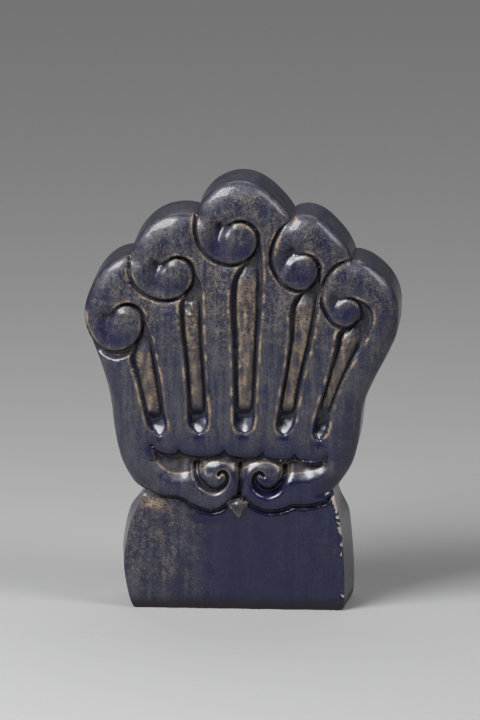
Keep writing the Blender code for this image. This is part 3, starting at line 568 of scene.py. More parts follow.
class Face:
    """The carved front at a set of points: how far back it lies, and what the glaze did there.

    thin is where the glaze broke to tan over an edge, and on the knobs' crests and the right curls' crests it
    is also a painted highlight; pool where it gathered deep, and painted shade where the petals round under;
    clear where it gathered bright and smooth; dark is painted shade in the cuts, the recess, the nicks, the
    notches and under the fan's lower edge, and a stain ring on the block; rough where it crawled and
    speckled; and bare where clay shows.
    """

    def __init__(self, points):
        self.points = points
        count = len(points)
        self.depth = np.full(count, FACE_MARGIN)
        for name in ("cuts", *MARKS):
            setattr(self, name, np.zeros(count))
        self.carve_fan()
        self.carve_recess()
        self.carve_foot()
        self.mark()
        self.depth = np.maximum(self.depth, LEAST_DEPTH)

    def mark_most(self, name, values, where=True):
        setattr(self, name, np.maximum(getattr(self, name), np.where(where, values, 0)))

    def carve_scroll(self, scroll, begins):
        """One curl: its raised left edge and groove, the neighbour sinking beneath, its knob and valley."""
        points = self.points
        edge = curl(scroll, begins, NECK_ANGLE + CURL_OVERLAP)
        away, place, index = near(points, edge)
        eye = drawn(scroll["eye"])
        from_eye = np.hypot(*(points - eye).T)
        own = from_eye < np.hypot(*(place - eye).T)
        ends = np.clip(index * CURL_STEP / EDGE_FADE_IN, 0, 1)
        ends *= np.clip((len(edge) - 1 - index) / EDGE_FADE_OUT, 0, 1)
        self.depth -= np.where(own, SCROLL_RISE * np.exp(-away / SCROLL_RISE_REACH), 0) * ends
        self.depth += np.where(own, SCROLL_EDGE_DROP * rounding(away / SCROLL_EDGE_RADIUS, 1), 0)
        self.depth += np.where(own, 0, NEIGHBOUR_SINK * np.exp(-away / NEIGHBOUR_SINK_REACH)) * ends
        on_right = scroll["eye"][0] > 0
        # On the right curls the stronger, wider lip is partly a painted highlight on their crests toward the
        # key light
        worn, reach = RIGHT_LIP if on_right else LEFT_LIP
        neighbour_lip = bell(away - NEIGHBOUR_LIP_AWAY, NEIGHBOUR_LIP_REACH)
        lips = np.where(own, worn * bell(away - CURL_LIP_AWAY, reach), neighbour_lip)
        self.mark_most("thin", np.clip(0.70 + 0.35 * ripple(points, 0.015, 22), 0, 1) * lips)
        # Painted shade along the groove between the curl and its neighbour
        self.mark_most("dark", 0.40 * bell(away, 0.30 * GROOVE_WIDTH))
        end = scroll["end"]
        place = near(points, curl(scroll, NECK_ANGLE, end - CURL_OVERLAP))[1]
        bearing = np.degrees(np.arctan2(*(points - eye).T[::-1]))
        swept = (bearing - NECK_ANGLE) % 360
        knob = (from_eye < np.hypot(*(place - eye).T)) | (swept > end - NECK_ANGLE)
        fade = ease(swept, 0, KNOB_FADE_IN) * ease(end + KNOB_FADE - NECK_ANGLE - swept, 0, KNOB_FADE)
        inner = curl_radius(scroll, end)
        dome = np.clip(from_eye / (KNOB_RADIUS * UNIT), 0, 1)**2.4 * ease(from_eye / inner, 1.9, 1.1)
        self.depth += np.where(knob, KNOB_DOME * dome, 0) * fade
        facing = np.clip(np.cos(np.radians(bearing - CREST_ANGLE)), 0, 1)
        crest = np.where(knob, bell(from_eye / inner - CREST_AT, CREST_REACH) * facing, 0)
        self.depth -= CREST_RISE * crest
        # The crest's tan lies only on the knob's side toward the key light: thinned glaze, and a painted
        # highlight
        self.mark_most("thin", 0.65 * crest)
        turn = np.linspace(end, end + VALLEY_TURN, VALLEY_TURN // CURL_STEP + 1)
        valley = eye + (inner * np.linspace(1, VALLEY_SPREAD, len(turn)))[:, None] * ways(turn)
        valley_away, _, index = near(points, valley)
        soft = bell(2 * valley_away, VALLEY_WIDTH)
        fade = np.clip((len(valley) - 1 - index) / VALLEY_FADE, 0, 1)
        self.depth += VALLEY_DEPTH * soft * fade
        self.mark_most("pool", 0.75 * soft * fade)
        if on_right:
            away = away + 0.002 * (1 - ends)
        self.cuts = np.maximum(self.cuts, groove(away, GROOVE_WIDTH, GROOVE_DEPTH))

    def carve_slot(self, scroll, slot):
        """One slot: hollow walls, a broad low rib, a round scoop at its foot, and thin lips on the petals."""
        points = self.points
        edge = slot_outline(scroll, slot)
        away = near(points, edge, closed=True)[0]
        within = inside(points, edge)
        rib = drawn_line(slot["rib"])
        rib_away, _, index = near(points, rib)
        half = away + rib_away
        share = away / np.maximum(half, 1e-6)
        fade = ease(len(rib) - 1 - index, 0, RIB_FADE_FOOT) * ease(index, 0, RIB_FADE_TOP)
        crest = 0.8 * ease(share, *RIB_SHOULDER) + 0.2 * ease(share, *RIB_CROWN)
        crest *= np.where(within, fade, 0)
        foot = drawn(slot["foot"])
        end = ease(points[:, 1], foot[1] + SCOOP_TOP, foot[1] + SCOOP_FULL) * np.where(within, 1, 0)
        wall = np.clip(WALL_SHARE * half, LEAST_WALL, SLOT_WALL)
        right, up = (points - foot).T
        facet = SCOOP_START + SCOOP_FALL * up - SCOOP_LEAN * right - SCOOP_CURVE * up**2
        ends = np.array([hollow(away, SCOOP_WALL, SCOOP_FLOOR), np.maximum(facet, LEAST_SCOOP)])
        scooped = -SCOOP_BLEND * np.log(np.exp(-ends / SCOOP_BLEND).sum(axis=0))
        floor = hollow(away, wall, SLOT_DEPTH) * (1 - end) + np.maximum(scooped, 0) * end
        floor -= (SLOT_DEPTH - RIB_DEPTH) * crest
        self.cuts = np.maximum(self.cuts, np.where(within, floor, 0))
        uneven = np.clip(0.70 + 0.38 * ripple(points, 0.009, 21), 0.15, 1)
        tan = RIB_TAN * (0.92 + 0.20 * ripple(points * [1, 0.3], 0.004, 23)) + 0.25 * bell(share - 0.50, 0.08)
        tan *= ease(share, 0.16, 0.50) * fade
        lip = uneven * bell(away - SLOT_LIP_AWAY, SLOT_LIP_REACH)
        self.mark_most("thin", np.where(within, tan * (1 - end), lip))
        # Painted shade down the slot's channels, off the rib's crest and above the scoop
        self.mark_most("dark", 0.55 * ease(away, 0.0002, 0.0010) * (1 - crest) * (1 - end), within)
        self.depth -= BEAD_HEIGHT * np.where(within, 0, bell(away - SLOT_LIP_AWAY, BEAD_REACH))
        self.depth += np.where(within, 0, PETAL_FALL * (1 - np.clip(away / PETAL_FALL_REACH, 0, 1))**2)
        dip, crescent = (np.hypot(*((points - foot - at) / shape).T) for at, shape in (DIP, CRESCENT))
        scoop = bell(dip, SCOOP_REACH)
        self.depth += SCOOP_DEPTH * scoop
        self.mark_most("pool", np.maximum(0.6 * end, bell(crescent, CRESCENT_REACH)))
        self.mark_most("clear", end)
        self.thin *= 1 - 0.7 * scoop * np.where(points[:, 1] < foot[1] + 0.002, 1, 0)

    def carve_fan(self):
        meets = neighbours()[1]
        for k, scroll in enumerate(SCROLLS):
            begins = scroll["first"] + CURL_STEP * meets[k - 1][1] if k else LEFT_SIDE_ANGLE - 20
            self.carve_scroll(scroll, begins)
        for scroll, slot in zip(SCROLLS, SLOTS):
            self.carve_slot(scroll, slot)

    def carve_recess(self):
        """The scalloped recess, the bands and volutes under it, and the ledge under the left curl."""
        points = self.points
        edge = recess_outline()
        within = inside(points, edge)
        petals = edge[:SCALLOP_POINTS * (len(SCALLOP_CUSPS) - 1) + 1]
        petal_away = near(points, petals)[0]
        foot_away = near(points, drawn_line(RECESS_FOOT))[0]
        sides = edge[[-1, 0]], edge[len(petals) - 1:len(petals) + 1]
        side_away = np.minimum(*(near(points, side)[0] for side in sides))
        share = petal_away / (petal_away + foot_away)
        floor = BAND_EDGE_DROP + (RECESS_DEPTH - BAND_EDGE_DROP) * (1 - share)
        under = ease(petal_away, 0, RECESS_WALL)
        floor = (PETAL_FOOT_DROP * (1 - under) + floor * under) * ease(side_away, 0, 0.0020)
        above = points[:, 1] > RECESS_LEVEL * UNIT
        petal = PETAL_FOOT_DROP * rounding(petal_away / PETAL_FOOT_RADIUS, 1)
        band = BAND_EDGE_DROP * np.clip(1 - foot_away / BAND_EDGE_RADIUS, 0, 1)**1.4
        self.depth += np.where(within, floor, np.where(above, petal, band))
        # Painted shade over the recess floor, deepest in a band under the petals' edge
        self.mark_most("dark", np.maximum(0.25, 0.6 * bell(petal_away, 0.0018)), within)
        self.mark_most("clear", np.where(within, 0.8, 0.8 * bell(foot_away, 0.0035)))
        # Deep blue where the petals round under into the recess: gathered glaze, and painted shade on the
        # downward-turning surface
        self.mark_most("pool", 0.9 * bell(petal_away, 0.0085), above & ~within)
        lip = np.where(above, 0, 0.85 * bell(foot_away - 0.0006, 0.0010))
        self.mark_most("thin", np.where(within, 0.45, lip))
        for volute in VOLUTES:
            from_eye = np.hypot(*(points - drawn(volute["eye"])).T) / (VOLUTE_RADIUS * UNIT)
            self.depth -= VOLUTE_RISE * (1 - np.clip(from_eye / 1.25, 0, 1)**2)
            self.mark_most("clear", 0.6 * ease(from_eye, 1.4, 0.9))
            line = volute_line(volute)
            self.cut_groove(line, volute["widths"], VOLUTE_GROOVE_DEPTH, VOLUTE_EDGE_RADIUS, 0.9)
        parting = drawn_line(VOLUTE_PARTING)
        self.cut_groove(parting, (PARTING_WIDTH,), VOLUTE_GROOVE_DEPTH, VOLUTE_EDGE_RADIUS, 0.8)
        self.cut_groove(drawn_line(LEDGE), (LEDGE_WIDTH,), LEDGE_DEPTH, 0, 0.4)
        for *oval, depth in HOLLOWS:
            self.depth += depth * bell(across(points, *oval), 0.8)
        self.depth += self.cuts

    def cut_groove(self, line, widths, depth, edge_radius, thin):
        """A groove whose width changes evenly from one given width to the next, with rounded shoulders."""
        away, _, index = near(self.points, line)
        width = np.interp(index / (len(line) - 1), np.linspace(0, 1, len(widths)), widths)
        self.cuts = np.maximum(self.cuts, groove(away, width, depth))
        if edge_radius:
            self.depth += rounding(np.maximum(away - width / 2, 0), edge_radius) * 0.6
        self.mark_most("thin", thin * bell(away - width / 2 - 0.0005, 0.0008))
        # Painted shade along the groove's bed
        self.mark_most("dark", 0.7 * bell(away, 0.36 * width))

    def carve_foot(self):
        """The fan's lower edge, the shadow line under it, the block set back below, and the bud."""
        points = self.points
        foot_edge = drawn_line(FOOT_EDGE)
        away = near(points, foot_edge, reach=0.08)[0]
        below = points[:, 1] < np.interp(points[:, 0], foot_edge[:, 0], foot_edge[:, 1])
        shadow = SHADOW_LINE_DEPTH * np.exp(-(2 * (away - FOOT_STEP) / SHADOW_LINE_WIDTH)**2)
        foot = FACE_MARGIN + FAN_FOOT_RADIUS
        block = foot + (BLOCK_SETBACK + FACE_MARGIN + shadow - foot) * np.clip(away / FOOT_STEP, 0, 1)
        bud = drawn(BUD)
        bud_away = near(points, bud, closed=True)[0]
        tip_away = np.hypot(*(points - drawn(BUD_TIP)).T)
        in_bud = inside(points, bud)
        block -= np.where(in_bud, BUD_HEIGHT * (0.4 + 0.6 * bud_away / (bud_away + tip_away)), 0)
        block += HEM_FALL * rounding(points[:, 1] / HEM_HEIGHT, 1)
        self.depth += rounding(away, FAN_FOOT_RADIUS)
        self.depth = np.where(below, block, self.depth)
        self.below = below
        for name in ("thin", "pool", "clear", "dark"):
            setattr(self, name, np.where(below, 0, getattr(self, name)))
        # Painted shadow on the block under the fan's lower edge
        self.mark_most("dark", 0.3 * bell(away, 0.0020), below)
        self.mark_most("thin", 0.35 + 0.5 * bell(bud_away, 0.0010), in_bud)
        x = points[:, 0] / UNIT
        # Deeper blue over the block towards its right, and low on the fan, deepening downwards and towards
        # the right
        self.mark_most("pool", 0.30 + 0.60 * ease(x, -18, -3), below & ~in_bud)
        low_band = ease(points[:, 1], 34 * UNIT, 30 * UNIT) * (0.3 + 0.6 * ease(x, -6, 4))
        self.mark_most("pool", low_band, ~below)

    def mark(self):
        """Chips, nicks, gathered glaze, blisters and the unevenness of the hand."""
        points = self.points
        fan = np.where(self.below, 0, 1)
        for *oval, depth in CHIPS:
            hole = ease(across(points, *oval) + 0.16 * ripple(points, 0.004, 3), 1.0, 0.72)
            self.depth += depth * hole
            self.mark_most("thin", hole)
            self.mark_most("bare", 0.5 * hole)
        for nick in NICKS:
            away = near(points, drawn_line(nick), reach=0.004)[0]
            self.depth += groove(away, NICK_WIDTH, NICK_DEPTH)
            # Painted shade in the nick
            self.mark_most("dark", bell(away, 0.0006))
        for oval in POOLS:
            self.mark_most("pool", 0.9 * bell(across(points, *oval), 0.9) * fan)
        x, z = (points / UNIT).T
        high_front = ease(z, 55, 70)
        crawled = (0.06 + 0.24 * high_front) * ripple(points, 0.016, 5)
        self.rough = np.clip(0.08 + 0.74 * high_front + crawled, 0, 1) * fan
        left_block = 1.2 * ease(x, -3, -18) * ease(z, 0, 12)
        right_block = ease(x, 10, 20) * ease(z, 4, 14) * 0.5
        hazed = np.maximum(left_block, right_block) + 0.2 * ripple(points * [1, 0.3], 0.009, 6)
        self.rough += np.clip(hazed, 0, 1) * (1 - fan)
        blistered = bell(across(points, *BLISTERS), 1.0)
        lumpy = bell(across(points, *LUMPS), 1.0)
        self.depth -= LUMP_HEIGHT * blistered * np.clip(ripple(points, 0.0042, 8), -0.6, 1.2)
        self.depth -= LUMP_HEIGHT * lumpy * np.clip(ripple(points, 0.0060, 9), -0.3, 1.4)
        self.rough = np.clip(np.maximum(self.rough, blistered), 0, 1)
        self.depth += HAND_WAVE * (1 + ripple(points * [1, 0.4], 0.014, 11))
        self.depth += HAND_RIPPLE * (1 + ripple(points, 0.0055, 12))
        corner = near(points, drawn_line(BLOCK_RIGHT), reach=0.006)[0]
        patchy = 0.6 * ripple(points * [1, 0.4], 0.0060, 14) + 0.4 * ripple(points, 0.0034, 15)
        patchy += 0.5 * ease(z, 6, 22)
        worn = ease(corner + 0.0006 * ripple(points, 0.0028, 18), 0.0026, 0.0006)
        worn *= ease(patchy, -0.2, 0.8) * (1 - fan)
        scuffed = bell(across(points, *SCUFF), 0.9) * (1 - fan)
        self.mark_most("thin", scuffed)
        self.mark_most("rough", scuffed)
        self.pool *= 1 - scuffed
        smear = across(points, *SMEAR) + 0.05 * ripple(points, 0.004, 16)
        self.mark_most("dark", 0.8 * bell(smear - 1, 0.10) * (1 - fan))
        self.mark_most("pool", ease(smear, 1.05, 0.9) * (1 - fan))
        self.depth += CHIP_DEPTH * worn
        self.mark_most("bare", worn)


def rim_at(points, line, radius):
    """For each point: its distance in from the outline, the place there, and the rim's measures."""
    away, place, index = near(points, line, closed=True, reach=1.01 * RIM_REACH * FAN_RIM_RADIUS)
    low = np.floor(index).astype(int) % len(line)
    part = index - np.floor(index)
    r = radius[low] * (1 - part) + radius[(low + 1) % len(line)] * part
    drop = rim_drop(r)
    return away, place, r, drop, (r + drop) / 2 * math.pi / 2, RIM_REACH * r


def rim_drop(radius):
    """How deep a rim rolls back: as deep as wide on the block, less on the fan's broad oval rim."""
    return radius - (FAN_RIM_RADIUS - FAN_RIM_DROP) * ease(radius, BLOCK_EDGE_RADIUS, FAN_RIM_RADIUS)


def along_from(points, place, away, wanted):
    """The points moved along their way in from the outline, to the distance wanted."""
    share = np.where(away > TOUCHING, wanted / np.maximum(away, TOUCHING), 0)
    return place + (points - place) * share[:, None]


def to_rim(points, line, radius):
    """Rolls the flat sheet's edge over the rim: the points moved, their drop, and the way the surface leans.

    The lean is 0 on the face and 1 where the rim meets the wall, with the outward way beside it.
    """
    away, place, r, drop, arc, reach = rim_at(points, line, radius)
    turned = np.clip(away / arc, 0, 1) * math.pi / 2
    gathered = np.where(away < arc, r * (1 - np.cos(turned)), r + (away - arc) * (reach - r) / (reach - arc))
    gathered = np.where(away < reach, gathered, away)
    moved = along_from(points, place, away, gathered)
    inward = (moved - place) / np.maximum(np.hypot(*(moved - place).T), TOUCHING)[:, None]
    return moved, np.where(away < arc, drop * (1 - np.sin(turned)), 0), inward * np.cos(turned)[:, None]


def from_rim(points, line, radius):
    """Where points of the finished face lie on the flat sheet before its edge is rolled over."""
    away, place, r, drop, arc, reach = rim_at(points, line, radius)
    on_round = np.arccos(np.clip(1 - away / r, -1, 1)) * (r + drop) / 2
    past = arc + (away - r) * (reach - arc) / (reach - r)
    flat = np.where(away < r, on_round, np.where(away < reach, past, away))
    return along_from(points, place, away, flat)


def beside(line, offset):
    """The line moved sideways, to its left for a positive offset."""
    along = np.gradient(line, axis=0)
    along /= np.maximum(np.hypot(*along.T), 1e-12)[:, None]
    return line + offset * np.column_stack([-along[:, 1], along[:, 0]])


def resampled(line, step):
    """The line's points about one step apart."""
    run = np.concatenate([[0], np.cumsum(np.hypot(*np.diff(line, axis=0).T))])
    at = np.linspace(0, run[-1], max(1, round(run[-1] / step)) + 1)
    return np.column_stack([np.interp(at, run, axis) for axis in line.T])


def across(points, x, z, wide, high, turn):
    """Distance from the middle of a turned oval, as a share of its size, all in the drawing's hundredths."""
    c, s = math.cos(math.radians(turn)), math.sin(math.radians(turn))
    dx, dz = (points / UNIT - [x, z]).T
    return np.hypot((c * dx + s * dz) / wide, (c * dz - s * dx) / high)


def bed(line, half):
    """A groove's line, with the offsets of its bed and its shoulders."""
    return line, (0, half, -half)


def carving_lines():
    """Every line that the carving follows, each with the offsets of its beds and walls."""
    lines = []
    for scroll, slot in zip(SCROLLS, SLOTS):
        lines.append((slot_outline(scroll, slot), (0, -SLOT_WALL / 2, -SLOT_WALL, 0.0007)))
        lines.append((drawn_line(slot["rib"]), (0,)))
        lines.append(bed(curl(scroll, scroll["first"], scroll["end"]), GROOVE_WIDTH / 2))
    lines.append((recess_outline(), (0, -RECESS_WALL / 3, -2 * RECESS_WALL / 3, -RECESS_WALL)))
    lines.append(bed(drawn_line(FOOT_EDGE), -FOOT_STEP))
    lines.append(bed(drawn_line(LEDGE), LEDGE_WIDTH / 2))
    lines += [bed(volute_line(volute), volute["widths"][1] / 2) for volute in VOLUTES]
    lines.append(bed(drawn_line(VOLUTE_PARTING), PARTING_WIDTH / 2))
    lines.append((drawn([*BUD, BUD[0]]), (0,)))
    return lines


def add_apart(kept, more, gap):
    """Adds the points that lie further than the gap from every point kept so far."""
    cells = {}
    for point in kept.tolist():
        cells.setdefault((point[0] // gap, point[1] // gap), []).append(point)
    added = []
    for x, z in more.tolist():
        i, j = x // gap, z // gap
        around = (cells.get((i + di, j + dj), ()) for di in (-1, 0, 1) for dj in (-1, 0, 1))
        if all((x - a)**2 + (z - b)**2 > gap * gap for cell in around for a, b in cell):
            cells.setdefault((i, j), []).append([x, z])
            added.append([x, z])
    return np.vstack([kept, np.array(added)])


def honeycomb(low, high, step):
    """Points in offset rows over the box between two corners."""
    seeds = []
    for i, z in enumerate(np.arange(low[1], high[1], step * math.sqrt(3) / 2)):
        xs = np.arange(low[0] + step * (i % 2) / 2, high[0], step)
        seeds.append(np.column_stack([xs, np.full(len(xs), z)]))
    return np.vstack(seeds)


def triangulated(line, points):
    """The sheet inside the outline, its points first the outline's, and its triangles, turned one way."""
    points = points[inside(points, line)]
    points = points[near(points, line, closed=True, reach=2 * RIM_CLEARANCE)[0] > RIM_CLEARANCE]
    points = np.vstack([line, points])
    ring = list(range(len(line)))
    edges = [(i, (i + 1) % len(line)) for i in ring]
    result = delaunay_2d_cdt([Vector(p) for p in points], edges, [ring], 1, CDT_TOLERANCE)
    flat = np.array([tuple(p) for p in result[0]])
    faces = np.array([face for face in result[2] if len(face) == 3])
    a, b, c = (flat[faces[:, i]] for i in range(3))
    b, c = (b - a).T, (c - a).T
    flipped = b[0] * c[1] - b[1] * c[0] < 0
    faces[flipped] = faces[flipped][:, ::-1]
    return flat, faces


def front_sheet(line, radius):
    """The front's points, close along the carving and wider on the open face."""
    lines = carving_lines()
    followed = []
    for path, offsets in lines:
        path = resampled(path, FINE_STEP)
        followed += [beside(path, offset) for offset in offsets]
    followed = np.vstack(followed)
    followed = from_rim(followed[inside(followed, line)], line, radius)
    block = drawn_line(BLOCK_LEFT), drawn_line(BLOCK_RIGHT), drawn((BLOCK_LEFT[-1], BLOCK_RIGHT[0]))
    paths = [path for path, offsets in lines] + list(block)
    points = add_apart(line, followed, SEED_GAP * FINE_STEP)
    for step, closest, furthest in ((FINE_STEP, 0, FINE_REACH), (OPEN_STEP, FINE_REACH, 1)):
        comb = honeycomb(line.min(axis=0), line.max(axis=0), step)
        comb = comb[inside(comb, line)]
        moved = to_rim(comb, line, radius)[0]
        away = np.min([near(moved, path, reach=0.005)[0] for path in paths], axis=0)
        points = add_apart(points, comb[(away >= closest) & (away < furthest)], SEED_GAP * step)
    return triangulated(line, points[len(line):])


def back_sheet(line):
    """The plain back's points, in rings round its rounded edge and wide apart elsewhere."""
    closed = np.vstack([line, line[:1]])
    rings = [beside(closed, offset) for offset in BACK_RINGS]
    box = line.min(axis=0), line.max(axis=0)
    points = add_apart(line, np.vstack(rings)[::2], SEED_GAP * BACK_RING_STEP)
    points = add_apart(points, honeycomb(*box, BACK_STEP), BACK_SEED_GAP * BACK_STEP)
    return triangulated(line, points[len(line):])


def flare_block(points):
    """Widens the block towards the back, by its flare on each side."""
    down = np.clip((FLARE_TOP * UNIT - points[:, 2]) / (FLARE_FALL * UNIT), 0, 1)
    behind = np.clip(points[:, 1] / THICKNESS + 0.5, 0, 1)
    side = np.clip(points[:, 0] / (FLARE_HALF * UNIT), -1, 1)
    points[:, 0] += side * BLOCK_FLARE * behind * down * down * (3 - 2 * down)
    return points


def ring_edges(faces, count):
    """The sheet's border, as pairs of neighbouring border points in the direction of its faces."""
    ends = np.vstack([faces[:, [0, 1]], faces[:, [1, 2]], faces[:, [2, 0]]])
    ends = ends[(ends < count).all(axis=1)]
    keys = {tuple(end) for end in ends.tolist()}
    return [(i, j) for i, j in keys if (j, i) not in keys]


def body_mesh():
    """The whole tile: carved front, rounded rims, walls with the marks of wiping, and plain back."""
    line, radius = evenly(*outline(), RIM_STEP)
    count = len(line)
    flat, faces = front_sheet(line, radius)
    moved, drop, lean = to_rim(flat, line, radius)
    face = Face(moved)
    on_face = 1 - np.clip(drop / FAN_RIM_DROP, 0, 1)
    depth = drop + face.depth * on_face
    cut = moved + lean * (WALL_LEAN * face.cuts)[:, None]
    front = np.column_stack([cut[:, 0], depth - THICKNESS / 2, cut[:, 1]])
    back_flat, back_faces = back_sheet(line)
    back_moved, back_drop, _ = to_rim(back_flat, line, np.full(count, BACK_EDGE_RADIUS))
    back = np.column_stack([back_moved[:, 0], THICKNESS / 2 - back_drop, back_moved[:, 1]])
    rings = []
    for j in range(1, WALL_RINGS):
        share = j / WALL_RINGS
        rings.append(front[:count] * (1 - share) + back[:count] * share)
    walls = []
    starts = [0, *(len(front) + count * j for j in range(WALL_RINGS))]
    for i, j in ring_edges(faces, count):
        for a, b in zip(starts, starts[1:]):
            walls.append((j + a, i + a, i + b, j + b))
    points = np.vstack([front, *rings, back])
    triangles = faces.tolist() + (back_faces[:, ::-1] + starts[-1]).tolist()
    mesh = bpy.data.meshes.new("glazed_body")
    mesh.from_pydata(points.tolist(), [], triangles + walls)
    on_wall = np.ones(count * (WALL_RINGS - 1))
    marks = {"wall": np.concatenate([1 - on_face, on_wall, np.full(len(back), BACK_WIPED)])}
    # Painted shade at the notches where the left curls' edges reach the rim, kept at full strength back over
    # the wall
    notch_away = np.min([np.hypot(*(line - place).T) for place in notches()], axis=0)
    face.dark[:count] = np.maximum(face.dark[:count], 0.7 * bell(notch_away, 0.0016))
    behind = np.arange(1, WALL_RINGS) / WALL_RINGS
    fading = {"dark": np.ones(len(behind)), "bare": (1 - behind)**BARE_FADE}
    for name in MARKS:
        plain = BACK_ROUGH if name == "rough" else 0
        values = getattr(face, name)
        at_rim = values[:count]
        walls = [plain + (at_rim - plain) * share for share in fading.get(name, (1 - behind)**MARK_FADE)]
        marks[name] = np.concatenate([values, *walls, np.full(len(back), plain)])
    return mesh, points, marks


def fitted(points):
    """The body's points moved to the frame's box, whose size they keep."""
    points = flare_block(points)
    middle = (points.min(axis=0) + points.max(axis=0)) / 2
    frame_middle = (cad_low + cad_high) / 2
    points[:, :2] += frame_middle[:2] - middle[:2]
    points = np.clip(points, cad_low + BOX_INSET * np.array([1, 1, 0]), cad_high - BOX_INSET)
    return points, frame_middle[0] - middle[0]


def glazed_body(material):
    mesh, points, marks = body_mesh()
    points, shift = fitted(points)
    mesh.vertices.foreach_set("co", points.ravel())
    for name, values in marks.items():
        attribute = mesh.attributes.new(name, "FLOAT", "POINT")
        attribute.data.foreach_set("value", np.clip(values, 0, 1))
    mesh.shade_smooth()
    mesh.materials.append(material)
    mesh.update()
    piece = bpy.data.objects.new("glazed_body", mesh)
    bpy.context.scene.collection.objects.link(piece)
    return piece, shift


def maths(operation, swapped=False):
    """A method that adds a Math node of one operation."""
    def add_node(self, other):
        pair = (other, self) if swapped else (self, other)
        return self.paint.node("ShaderNodeMath", {"operation": operation}, dict(enumerate(pair)))
    return add_node


class Value:
    """A socket that carries a number; the usual signs on it add Math nodes."""

    def __init__(self, paint, socket):
        self.paint = paint
        self.socket = socket

    __add__ = __radd__ = maths("ADD")
    __mul__ = __rmul__ = maths("MULTIPLY")
    __sub__ = maths("SUBTRACT")
    __rsub__ = maths("SUBTRACT", swapped=True)
    most = maths("MAXIMUM")

    def ease(self, low, high):
        """From 0 at low to 1 at high, flat at both ends."""
        return self.paint.node("ShaderNodeMapRange", {"interpolation_type": "SMOOTHSTEP"},
                               {"Value": self, "From Min": low, "From Max": high})

    def clamped(self):
        return self.paint.node("ShaderNodeClamp", {}, {"Value": self})


class Paint:
    """One material and the nodes that make its finish."""

    def __init__(self, name):
        self.material = bpy.data.materials.new(name)
        self.material.use_nodes = True
        self.tree = self.material.node_tree
        self.shader = self.tree.nodes["Principled BSDF"]
        self.place = self.node("ShaderNodeTexCoord", {}, {}, "Object")

    def node(self, kind, settings, values, output=0):
        """A node of a kind: its settings first, then a value or a link for each of the named sockets."""
        made = self.tree.nodes.new(kind)
        for name, setting in settings.items():
            setattr(made, name, setting)
        for name, value in values.items():
            self.give(made.inputs[name], value)
        return Value(self, made.outputs[output])

    def give(self, socket, value):
        if isinstance(value, Value):
            self.tree.links.new(value.socket, socket)
        else:
            socket.default_value = value

    def mark(self, name):
        return self.node("ShaderNodeAttribute", {"attribute_name": name}, {}, "Fac")

    def noise(self, size, detail=4.0, roughness=0.55, stretch=None, offset=0.0):
        """Noise whose patches are about one size, in metres, stretched along the axes if asked."""
        where = self.place
        if stretch or offset:
            where = self.node("ShaderNodeMapping", {}, {"Vector": where, "Scale": stretch or (1, 1, 1),
                                                        "Location": (offset, offset, offset)})
        return self.node("ShaderNodeTexNoise", {}, {"Vector": where, "Scale": 1 / size, "Detail": detail,
                                                    "Roughness": roughness})

    def mix(self, share, first, second):
        return self.node("ShaderNodeMix", {"data_type": "RGBA"}, {0: share, 6: first, 7: second}, 2)

    def finish(self, values):
        for name, value in values.items():
            self.give(self.shader.inputs[name], value)
        return self.material


DEEP = (0.0025, 0.0036, 0.030, 1)
COBALT = (0.009, 0.012, 0.037, 1)
HAZE = (0.056, 0.057, 0.066, 1)
GREY_BROWN = (0.150, 0.137, 0.119, 1)
BROWN = (0.088, 0.064, 0.047, 1)
TAN = (0.27, 0.21, 0.15, 1)
# Near black: painted shade in the cuts and under the fan's edge, and the block's stain ring
SHADE_AND_STAIN_BLACK = (0.004, 0.004, 0.007, 1)
INK = (0.006, 0.007, 0.018, 1)
CLAY = (0.34, 0.29, 0.26, 1)
FOOT_BROWN = (0.007, 0.005, 0.006, 1)


